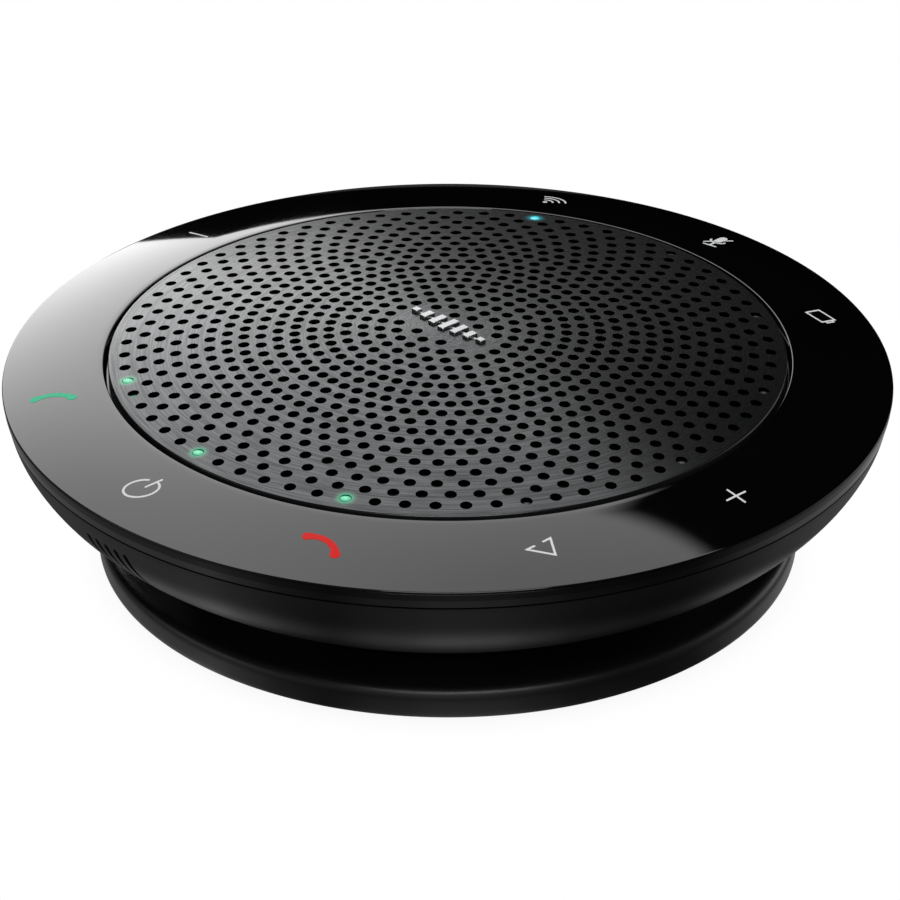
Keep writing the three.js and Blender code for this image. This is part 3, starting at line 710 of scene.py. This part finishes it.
spider_shares = [k / spider_steps for k in range(spider_steps + 1)]
spider_top = [(spider_inner + (spider_outer - spider_inner) * share, spider_height(share))
              for share in spider_shares]
spider_outline = [(radius, height - spider_sheet) for radius, height in spider_top] + spider_top[::-1]
spider = turned("woven_spider", spider_outline, spider_cloth, 192)
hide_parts("cone_spider")
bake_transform(spider)

# Upper frame. One black moulding: the band that shows under the touch ring, the deck that the
# loudspeaker hangs from, the rib that carries grille and ring, and the long screws' posts.
band_gloss = moulded("gloss_black_band", (0.004, 0.004, 0.0042), 0.16, grain=0.3, depth=0.001)
band_outside = [(59.60, 24.1, 0.1), (59.86, 25.2, 0.5), (59.98, 26.16, 0.04)]
frame_outline = [(27.2, 23.3), (55.2, 23.3), (55.2, 21), (56.4, 21), (56.4, 24.1, 0.05)] + band_outside
frame_outline += [(58.75, 26.1), (58.75, 24.9), (46.1, 24.9), (46.1, 27.1), (44.7, 27.1), (44.7, 24.9),
                  (27.2, 24.9)]
upper_frame = turned("upper_frame_moulding", eased(frame_outline, 0.12), band_gloss, steps=360)
frame_posts = bored_posts(posts, 2.5, 13.6, 23.4, 1.2, 12.6, 20.5, band_gloss)
frame_bosses = bored_posts(driver_spots, 2.3, 21.2, 23.4, 1.0, 20, 23, band_gloss)
drilled(upper_frame, driver_spots, 1.0, 21, 26)
fasten(joined(upper_frame, *frame_posts, *frame_bosses), "satin_black", "upper_frame")

# Light board. A narrow ring of circuit board on the deck, with twelve lamps, one under each
# light guide. Four are lit: three green on the front left and one blue-green at the back left.
lamp_count, lamp_radius = 12, 43.51
lamp_low, lamp_high = 25.9, 26.5
light_board_outline = [(40.8, 25.2), (44.4, 25.2), (44.4, 26.0), (40.8, 26.0)]
light_board = turned("light_board_ring", eased(light_board_outline, 0.08), board_green)
lamp_white = moulded("lamp_package", (0.75, 0.75, 0.7), 0.4, grain=0.3, depth=0.004, drift=0.04)
lamps = [block("lamp", 0.9, 1.7, lamp_low, lamp_high, lamp_white, x, y, 0.1, math.atan2(y, x))
         for x, y in around(lamp_count, lamp_radius)]
fasten(light_board, "circuit_board", "light_board")
fasten(joined(*lamps), "connector_ivory")

# Touch film. An amber plastic sheet with twelve etched copper electrodes, bonded under the touch
# ring, which feels a finger through it.
film, film_tree, film_shader, film_place = surface("electrode_film")
film_axes = node(film_tree, "SeparateXYZ", {0: film_place})
film_turn = maths(film_tree, "ARCTAN2", film_axes.outputs["Y"], film_axes.outputs["X"])
pad_wave = maths(film_tree, "COSINE", product(film_tree, film_turn, 12.0))
on_copper = maths(film_tree, "GREATER_THAN", pad_wave, -0.55)
film_grain = node(film_tree, "TexNoise", {"Vector": film_place, "Scale": 1 / (0.6 * mm)})
feed(film_shader, {"Base Color": mixed(film_tree, on_copper, (0.42, 0.19, 0.025, 1), (0.70, 0.33, 0.14, 1)),
                   "Metallic": product(film_tree, on_copper, 0.8),
                   "Roughness": eased_range(film_tree, film_grain.outputs[0], 0.3, 0.7, 0.26, 0.36)})


def ring_floor(radius):
    """The underside of the touch ring, which slopes down to the rim."""
    return 27.2 - (radius - 46.35) * 0.158


film_inner, film_outer, film_thickness = 47.2, 56.6, 0.2
film_outline = [(radius, ring_floor(radius) - 0.1 - below) for radius, below in [
    (film_inner, film_thickness), (film_outer, film_thickness), (film_outer, 0), (film_inner, 0)]]
fasten(turned("electrode_sheet", eased(film_outline, 0.05, 2), film), "electrode_film", "touch_film")

# Touch ring. A gloss black moulding, polished like a lens, slightly crowned and falling to the
# rim. It is bonded to the rib and the band of the upper frame.
gloss_black, gloss_tree, gloss_shader, gloss_place = surface("gloss_black_lens")
polish = node(gloss_tree, "TexNoise", {"Vector": gloss_place, "Scale": 45.0, "Detail": 2.0}).outputs[0]
gloss_colour = mixed(gloss_tree, polish, (0.0012, 0.0012, 0.0013, 1), (0.0022, 0.0022, 0.0024, 1))
feed(gloss_shader, {"Base Color": gloss_colour, "Normal": relief(gloss_tree, polish, 0.004),
                    "Roughness": eased_range(gloss_tree, polish, 0.3, 0.7, 0.035, 0.055)})


def ring_height(radius):
    """The crowned top of the touch ring."""
    out = radius - 46.9
    return 28.75 - 0.10476 * out - 0.005116 * out * out


ring_outline = [(46.35, 27.2), (58.4, ring_floor(58.4)), (58.4, 26.2), (60.0, 26.2, 0.05),
                (60.0, 26.5, 0.16)]
crown_steps = 16
crown_outer, crown_inner = 59.7, 46.62
crown_radii = [crown_outer + (crown_inner - crown_outer) * k / crown_steps for k in range(crown_steps + 1)]
ring_outline += [(radius, ring_height(radius), 0) for radius in crown_radii]
ring_outline += [(46.42, 28.73, 0.02), (46.35, 28.65, 0.02)]
touch_ring = turned("touch_ring_lens", eased(ring_outline, 0.1, 3), gloss_black, steps=480)
fasten(touch_ring, "gloss_black", "touch_ring")


# Touch signs. Thin screen-printed marks on the ring, one for each touch field: mute, battery,
# louder, play, hang up, power, answer, quieter and wireless.
def printed(name, colour, painted_ink_glow):
    """Screen ink with a fine speckle, which glows faintly in its own colour: a painted glow, as no lamp lies
    under the signs.
    """
    material = moulded(name, colour, 0.5, grain=0.12, depth=0.002, drift=0.08)
    feed(material.node_tree.nodes["Principled BSDF"], {
        "Specular IOR Level": 0.06, "Emission Color": (*colour, 1), "Emission Strength": painted_ink_glow})
    return material


# The last number of each ink is the strength of its painted glow.
ink_grey = printed("grey_ink", (0.50, 0.505, 0.51), 0.55)
ink_red = printed("red_ink", (0.40, 0.012, 0.010), 0.75)
ink_green = printed("green_ink", (0.03, 0.27, 0.15), 0.95)
print_height, print_root = 0.03, 0.06
sign_radius = 53


def along(points, closed):
    """The same line with a point at least every 0.35 mm."""
    ends = points[1:] + points[:1] if closed else points[1:]
    fine = []
    for (x, y), (to_x, to_y) in zip(points, ends):
        parts = max(1, math.ceil(math.dist((x, y), (to_x, to_y)) / 0.35))
        fine += [(x + (to_x - x) * k / parts, y + (to_y - y) * k / parts) for k in range(parts)]
    return fine if closed else fine + [points[-1]]


def arc(x, y, radius, start, end, steps=24, squash=1.0):
    turns = [math.radians(start + (end - start) * k / steps) for k in range(steps + 1)]
    return [(x + radius * math.cos(turn), y + radius * squash * math.sin(turn)) for turn in turns]


def stroke(line, width=0.38, closed=False, widths=None):
    """The two sides of a drawn line with mitred corners and round ends."""
    line = along(line, closed)
    count = len(line)
    sides = []
    for k, (x, y) in enumerate(line):
        here = Vector((x, y))
        back = here - Vector(line[k - 1] if k or closed else (2 * x - line[1][0], 2 * y - line[1][1]))
        on = Vector(line[(k + 1) % count]) - here if k < count - 1 or closed else back
        normal = back.normalized() + on.normalized()
        normal = Vector((-normal.y, normal.x)).normalized()
        mitre = max(normal.dot(Vector((-back.y, back.x)).normalized()), 0.5)
        half = (widths(k / (count - 1)) if widths else width) / 2 / mitre
        sides.append((here + normal * half, here - normal * half))
    if not closed:
        for end, sign in ((0, -1), (-1, 1)):
            left, right = sides[end]
            middle, half = (left + right) / 2, (left - right) / 2
            way = Vector((half.y, -half.x)) * sign
            rounds = []
            for a in (0.4, 0.8, 1.15, 1.45):
                beyond = middle + way * math.sin(a)
                rounds.append((beyond + half * math.cos(a), beyond - half * math.cos(a)))
            sides = rounds[::-1] + sides if end == 0 else sides + rounds
    return sides, closed


def sign(name, turn, ink, *strokes, lean=0.0):
    """A printed sign, upright in plan, centred on a field of the ring."""
    centre = Vector(around(1, sign_radius, turn)[0])
    tilt = Matrix.Rotation(math.radians(lean), 2)
    points, faces = [], []
    for sides, closed in strokes:
        first = len(points)
        for pair in sides:
            for mark in pair:
                spot = centre + tilt @ mark
                top = ring_height(spot.length)
                points += [(spot.x, spot.y, top + print_height), (spot.x, spot.y, top - print_root)]
        count = len(sides)
        for k in range(count if closed else count - 1):
            a, b = first + 4 * k, first + 4 * ((k + 1) % count)
            faces += [(a, a + 2, b + 2, b), (a + 1, b + 1, b + 3, a + 3),
                      (a + 1, a, b, b + 1), (a + 2, a + 3, b + 3, b + 2)]
        if not closed:
            last = first + 4 * (count - 1)
            faces += [(first, first + 1, first + 3, first + 2), (last, last + 2, last + 3, last + 1)]
    return fasten(shaped(name, points, faces, ink, sharp=30), "gloss_black")


def handset(share):
    """A handset's thickness along its arc: stout at both ends."""
    return 0.95 + 0.45 * abs(2 * share - 1) ** 5


sign("mute_sign", 90, ink_grey,
     stroke([(0, 0.6), (0, 2.4)], 1.1), stroke(arc(0, 0.7, 1.1, 180, 360), 0.28),
     stroke([(0, -0.5), (0, -1.7)], 0.3), stroke([(-0.95, -1.9), (0.95, -1.9)], 0.32),
     stroke([(-1.3, -1.2), (1.3, 2.6)], 0.28), lean=14)
sign("battery_sign", 60, ink_grey,
     stroke([(-1.75, -1.2), (1.5, -1.2), (1.5, 1.2), (-1.75, 1.2)], 0.28, closed=True),
     stroke([(1.55, 0.6), (1.95, 0.6), (1.95, -0.6), (1.55, -0.6)], 0.26), lean=-6)
sign("louder_sign", 0, ink_grey, stroke([(-1.5, 0), (1.5, 0)], 0.27), stroke([(0, -1.65), (0, 1.65)], 0.27))
sign("play_sign", -30, ink_grey,
     stroke([(-1.0, 0.6), (-0.95, 1.75), (1.75, 0.0), (-1.2, -2.0), (-1.1, -0.85)], 0.3))
sign("hang_up_sign", -60, ink_red, stroke(arc(0.2, -2.7, 3.6, 135, 45), widths=handset))
sign("power_sign", -90, ink_grey,
     stroke(arc(0.2, -0.55, 2.3, 25, -290, 40, squash=0.78), 0.32),
     stroke([(0.75, -0.35), (2.7, 0.85)], 0.32), lean=47)
sign("answer_sign", -120, ink_green, stroke(arc(-0.3, -3.9, 4.4, 127, 56), widths=handset), lean=36)
sign("quieter_sign", 180, ink_grey, stroke([(-2.0, 0), (2.0, 0)], 0.27))
sign("wireless_sign", 120, ink_grey,
     stroke([(0, -1.5), (0, -1.46)], 0.65), stroke(arc(0, -1.5, 1.15, 45, 135), 0.27),
     stroke(arc(0, -1.5, 2.1, 45, 135), 0.27), stroke(arc(0, -1.5, 3.05, 45, 135), 0.27))


# Acoustic mesh. A black open-weave cloth bonded under the grille, inside the light guides. It
# keeps dust out and hides the loudspeaker.
def dome_height(radius):
    """The top of the grille's dome."""
    return 32.03 - dome_fall * radius * radius


dome_fall = 0.001472
cloth_black, cloth_tree, cloth_shader, cloth_place = surface("black_acoustic_cloth")
cloth_weave = weave(cloth_tree, cloth_place, "MAXIMUM", 0.9, 0.3)
cloth_colour = mixed(cloth_tree, cloth_weave, (0.001, 0.001, 0.001, 1), (0.010, 0.010, 0.011, 1))
feed(cloth_shader, {"Base Color": cloth_colour, "Roughness": 0.9, "Specular IOR Level": 0.2,
                    "Normal": relief(cloth_tree, cloth_weave, 0.08)})
grille_sheet = 0.7
cloth_radius, cloth_gap, cloth_sheet = 42, 0.2, 0.35
cloth_radii = [cloth_radius * k / 12 for k in range(13)]
cloth_top = [(radius, dome_height(radius) - grille_sheet - cloth_gap) for radius in cloth_radii]
cloth_outline = [(radius, height - cloth_sheet) for radius, height in cloth_top] + cloth_top[::-1]
cloth = turned("acoustic_cloth", cloth_outline, cloth_black, 144)
fasten(cloth, "acoustic_cloth", "acoustic_mesh")

# Light guides. Twelve clear moulded pins that carry light from the lamps up into the outermost
# ring of holes. Four glow; the others show as a dark hole with a painted glint in it, a faint glow given to
# the middle of each pin.
def glowing(name, edge_colour, core_colour, gloss=0.2):
    """Clear plastic seen down its bore: an emitting core in a deeper edge. On a lit guide the core is where
    the lamp shows; on an unlit guide it is a painted glint.
    """
    material = moulded(name, tuple(part * 0.3 for part in edge_colour), gloss, grain=0.4, depth=0.002)
    tree = material.node_tree
    core = node(tree, "Attribute", attribute_name="core").outputs["Fac"]
    feed(tree.nodes["Principled BSDF"], {
        "Emission Color": mixed(tree, core, (*edge_colour, 1), (*core_colour, 1)), "Emission Strength": 1.0})
    return material


# Painted glint: the unlit guides give off a faint grey glow at their middle, standing in for a glint of
# clear plastic, while their lamps are off.
unlit_painted_glint = glowing("unlit_guide_painted_glint", (0.002, 0.002, 0.002), (0.10, 0.10, 0.105), gloss=0.5)
glow_green = glowing("green_lit_guide", (0.01, 0.26, 0.13), (0.03, 0.80, 0.38))
glow_cyan = glowing("cyan_lit_guide", (0.02, 0.42, 0.48), (0.20, 0.90, 1.0))
lit_fields = {8: glow_green, 9: glow_green, 10: glow_green, 4: glow_cyan}
guide_low, guide_crown = 26.75, 0.03
for k, (x, y) in enumerate(around(lamp_count, lamp_radius)):
    lit = k in lit_fields
    guide_radius, core_fall = (0.68, 1.0) if lit else (0.55, 2.0)
    tip = dome_height(lamp_radius) - (0.03 if lit else 0.4)
    guide_outline = [(0, guide_low), (0.95, guide_low), (0.95, 27.4), (guide_radius, 27.4)]
    guide_outline += [(guide_radius * share, tip + guide_crown * (1 - share * share), 0)
                      for share in (1, 0.9, 0.75, 0.6, 0.45, 0.3, 0.15)] + [(0, tip + guide_crown)]
    clear = lit_fields.get(k, unlit_painted_glint)
    guide = turned(f"light_guide_pin_{k + 1:02d}", eased(guide_outline, 0.06, 2), clear, 40, x, y)
    core = guide.data.attributes.new("core", "FLOAT", "POINT")
    for spot, value in zip(guide.data.vertices, core.data):
        value.value = max(0, 1 - math.dist(spot.co.xy, (x * mm, y * mm)) / (guide_radius * mm)) ** core_fall
    fasten(guide, "clear_plastic", f"light_guide_{k + 1:02d}")

# Grille. A domed sheet-metal pressing, spun to a fine ringed finish and blackened, with rings of
# punched sound holes. The middle stays whole for the emblem, and the edge is turned down.
spun, spun_tree, spun_shader, spun_place = surface("spun_black_metal")
spun_axes = node(spun_tree, "SeparateXYZ", {0: spun_place})
east, north = spun_axes.outputs["X"], spun_axes.outputs["Y"]
flat_place = node(spun_tree, "CombineXYZ", {0: east, 1: north})
spun_radius = node(spun_tree, "VectorMath", {0: flat_place.outputs[0]}, operation="LENGTH").outputs["Value"]
ring_vector = node(spun_tree, "CombineXYZ", {
    0: product(spun_tree, spun_radius, 1 / (0.22 * mm)),
    1: product(spun_tree, maths(spun_tree, "DIVIDE", east, spun_radius), 6.0),
    2: product(spun_tree, maths(spun_tree, "DIVIDE", north, spun_radius), 6.0)})
tool_lines = node(spun_tree, "TexNoise", {"Vector": ring_vector.outputs[0], "Scale": 1.0, "Detail": 4.0})
broad_lines = node(spun_tree, "TexNoise", {"W": spun_radius, "Scale": 1 / (1.6 * mm), "Detail": 2.0},
                   noise_dimensions="1D")
speckle = node(spun_tree, "TexNoise", {"Vector": spun_place, "Scale": 1 / (0.09 * mm), "Detail": 2.0})
line_mix = product(spun_tree, tool_lines.outputs[0], 0.6)
line_mix = maths(spun_tree, "MULTIPLY_ADD", broad_lines.outputs[0], 0.1, line_mix)
line_mix = maths(spun_tree, "MULTIPLY_ADD", speckle.outputs[0], 0.3, line_mix)
spun_colour = mixed(spun_tree, eased_range(spun_tree, line_mix, 0.36, 0.64, 0.0, 1.0),
                    (0.031, 0.032, 0.033, 1), (0.076, 0.078, 0.080, 1))
spun_gloss = eased_range(spun_tree, line_mix, 0.3, 0.7, 0.30, 0.23)
# Painted light: round each lit guide the grille metal gives off a soft green or blue-green glow, a painted
# halo of the lamp's light spilling onto the metal.
painted_halo = None
for k, (x, y) in enumerate(around(lamp_count, lamp_radius)):
    if k not in lit_fields:
        continue
    lamp_spot = Vector((x * mm, y * mm, 0))
    off = node(spun_tree, "VectorMath", {0: flat_place.outputs[0], 1: lamp_spot}, operation="DISTANCE")
    lamp_spill_colour = (0.04, 0.62, 0.30, 1) if lit_fields[k] == glow_green else (0.02, 0.42, 0.50, 1)
    share = eased_range(spun_tree, off.outputs["Value"], 0.4 * mm, 1.9 * mm, 1.0, 0.0)
    painted_spill = mixed(spun_tree, maths(spun_tree, "POWER", share, 1.6), (0, 0, 0, 1), lamp_spill_colour)
    painted_halo = node(spun_tree, "VectorMath", {0: painted_halo, 1: painted_spill}, operation="ADD").outputs[0] if painted_halo else painted_spill
spun_tangent = node(spun_tree, "Tangent", direction_type="RADIAL", axis="Z")
feed(spun_shader, {"Base Color": spun_colour, "Roughness": spun_gloss, "Metallic": 1.0, "Anisotropic": 0.6,
                   "Anisotropic Rotation": 0.25, "Tangent": spun_tangent.outputs[0],
                   "Normal": relief(spun_tree, line_mix, 0.009),
                   "Emission Color": painted_halo, "Emission Strength": 0.6})
punched = moulded("punched_hole_wall", (0.02, 0.02, 0.021), 0.5, grain=0.2, depth=0.01, metallic=0.6,
                  drift=0.3)

hole_pitch, hole_radius, hole_ease, hole_sides = 2.29, 0.745, 0.05, 20
inner_rings = {3: (18, 0.5), 4: (24, 0), 5: (30, 0.5), 6: (36, 0), 7: (48, 0), 8: (48, 0), 9: (60, 0),
               10: (60, 0.5), 11: (60, 0)}
holes = [(0, 2 * hole_pitch), (0, -2 * hole_pitch)]
holes += [(side * 2.35, way * 3.45) for side in (-1, 1) for way in (-1, 1)]
for ring in range(3, 20):
    count, phase = inner_rings.get(ring, (72, 0 if ring % 2 else 0.5))
    spots = around(count, ring * hole_pitch, 360 * phase / count)
    holes += [spot for spot in spots if ring > 3 or abs(spot[1]) > 0.2 * ring * hole_pitch]

edge_count, edge_radius = 288, 45.55
plan, owner = [], []
for k, (x, y) in enumerate(holes):
    for step in range(hole_sides):
        turn = 2 * math.pi * (step + 0.5) / hole_sides
        reach = hole_radius + hole_ease
        plan.append((x + reach * math.cos(turn), y + reach * math.sin(turn)))
        owner.append(k)
loops = [(k * hole_sides + step, k * hole_sides + (step + 1) % hole_sides)
         for k in range(len(holes)) for step in range(hole_sides)]
hole_points = len(plan)
plan += around(edge_count, edge_radius)
loops += [(hole_points + k, hole_points + (k + 1) % edge_count) for k in range(edge_count)]
hole_centres = np.array(holes)
net_pitch, net_edge, clear_of_hole = 1.14, 45.1, 1.35
for ring in range(1, int(net_edge / net_pitch) + 1):
    for x, y in around(6 * ring, net_pitch * ring):
        if math.hypot(x, y) < net_edge and np.hypot(*(hole_centres - (x, y)).T).min() > clear_of_hole:
            plan.append((x, y))
owner += [-1] * (len(plan) - len(owner))
laid = geometry.delaunay_2d_cdt([Vector(point) for point in plan], loops, [], 0, 1e-6, True)
back_to = [ids[0] for ids in laid[3]]
sheet = np.array([[back_to[i] for i in face] for face in laid[2]])
owner = np.array(owner)
first = owner[sheet[:, 0]]
in_hole = (first >= 0) & (owner[sheet] == first[:, None]).all(axis=1)
sheet = sheet[~in_hole]
plan = np.array(plan)
total = len(plan)
spread = np.hypot(*plan.T)
dome_normal = np.column_stack([plan * 2 * dome_fall, np.ones(total)])
dome_normal /= np.linalg.norm(dome_normal, axis=1)[:, None]
top = np.column_stack([plan, dome_height(spread)])
inward = np.zeros((hole_points, 3))
inward[:, :2] = hole_centres[owner[:hole_points]] - plan[:hole_points]
inward /= np.linalg.norm(inward, axis=1)[:, None]
neck = top[:hole_points] + inward * hole_ease - (0, 0, hole_ease)
under = top - (0, 0, grille_sheet)
under[:hole_points] = neck - (0, 0, grille_sheet - hole_ease)
edge_inner = 44.9
rim_points = slice(hole_points, hole_points + edge_count)
under[rim_points, :2] *= edge_inner / edge_radius
under[rim_points, 2] = dome_height(edge_inner) - grille_sheet
skirt = [(45.64, 28.95), (45.70, 28.91), (45.73, 28.85), (45.74, 28.78), (45.74, 27.42), (45.64, 27.3),
         (45.14, 27.3), (45.04, 27.42), (45.04, 28.2)]
skirt_normal = [(0.5, 0.86), (0.75, 0.66), (0.93, 0.36), (1, 0), (1, -0.1), (0.2, -1), (-0.2, -1),
                (-1, -0.1), (-1, -0.1)]
compass = np.array(around(edge_count, 1.0))
skirt_points = np.concatenate([np.column_stack([compass * radius, np.full(edge_count, height)])
                               for radius, height in skirt])
skirt_normals = np.concatenate([np.column_stack([compass * out, np.full(edge_count, up)])
                                for out, up in skirt_normal])
grille_points = np.concatenate([top, neck, under, skirt_points]) * mm
neck_first, under_first = total, total + hole_points
skirt_first = under_first + total
all_normals = np.concatenate([dome_normal, inward, -dome_normal, skirt_normals])
around_hole = np.array(loops[:hole_points])
quads = [np.column_stack([around_hole[:, 0], around_hole[:, 1], neck_first + around_hole[:, 1],
                          neck_first + around_hole[:, 0]])[:, ::-1]]
walls = np.column_stack([neck_first + around_hole[:, 0], neck_first + around_hole[:, 1],
                         under_first + around_hole[:, 1], under_first + around_hole[:, 0]])[:, ::-1]
step_on = np.roll(np.arange(edge_count), -1)
rows = [hole_points + np.arange(edge_count)]
rows += [skirt_first + k * edge_count + np.arange(edge_count) for k in range(len(skirt))]
rows += [under_first + hole_points + np.arange(edge_count)]
for high, low in zip(rows, rows[1:]):
    quads.append(np.column_stack([low, low[step_on], high[step_on], high]))
quads = np.concatenate(quads)
faces = [*sheet.tolist(), *(sheet[:, ::-1] + under_first).tolist(), *quads.tolist(), *walls.tolist()]
grille_mesh = bpy.data.meshes.new("speaker_grille_pressing")
grille_mesh.from_pydata(grille_points, [], faces)
for metal in (spun, punched):
    grille_mesh.materials.append(metal)
finish_of = np.zeros(len(faces), int)
finish_of[-len(walls):] = 1
dark_rows = (len(rows) - 4) * edge_count
finish_of[-len(walls) - dark_rows:-len(walls)] = 1
grille_mesh.polygons.foreach_set("material_index", finish_of)
grille_mesh.shade_smooth()
corner_normals = [all_normals[sheet.ravel()], all_normals[(sheet[:, ::-1] + under_first).ravel()],
                  all_normals[quads.ravel()]]
wall_normals = all_normals[walls.ravel()].copy()
from_under = walls.ravel() >= under_first
wall_normals[from_under] = inward[walls.ravel()[from_under] - under_first]
corner_normals.append(wall_normals)
grille_mesh.normals_split_custom_set(np.concatenate(corner_normals).tolist())
grille = bpy.data.objects.new("speaker_grille_pressing", grille_mesh)
bpy.context.scene.collection.objects.link(grille)
fasten(grille, "grille_metal", "speaker_grille")

# Emblem. Seven polished metal level bars on a thin strip, cast in one and bonded to the top of
# the dome, where the grille has no holes.
polished = moulded("polished_bright_metal", (0.43, 0.435, 0.44), 0.30, grain=0.8, depth=0.0004, metallic=1.0,
                   drift=0.04)
bar_heights = (1, 1.9, 2.7, 3.2, 2.7, 1.9, 1)
bar_pitch, bar_width = 2.1, 1.1
emblem_x, emblem_y, emblem_top = -0.5, 0.6, 32.40
emblem_low, strip_top = 31.85, 32.1
bars = [block("bar", bar_width, height, emblem_low, emblem_top, polished,
              emblem_x + (k - 3) * bar_pitch, emblem_y, 0.06) for k, height in enumerate(bar_heights)]
strip = block("level_bars_emblem", 6 * bar_pitch + 0.4, 0.5, emblem_low, strip_top, polished,
              emblem_x, emblem_y, 0.08)
fasten(joined(strip, *bars), "bright_metal", "grille_emblem")
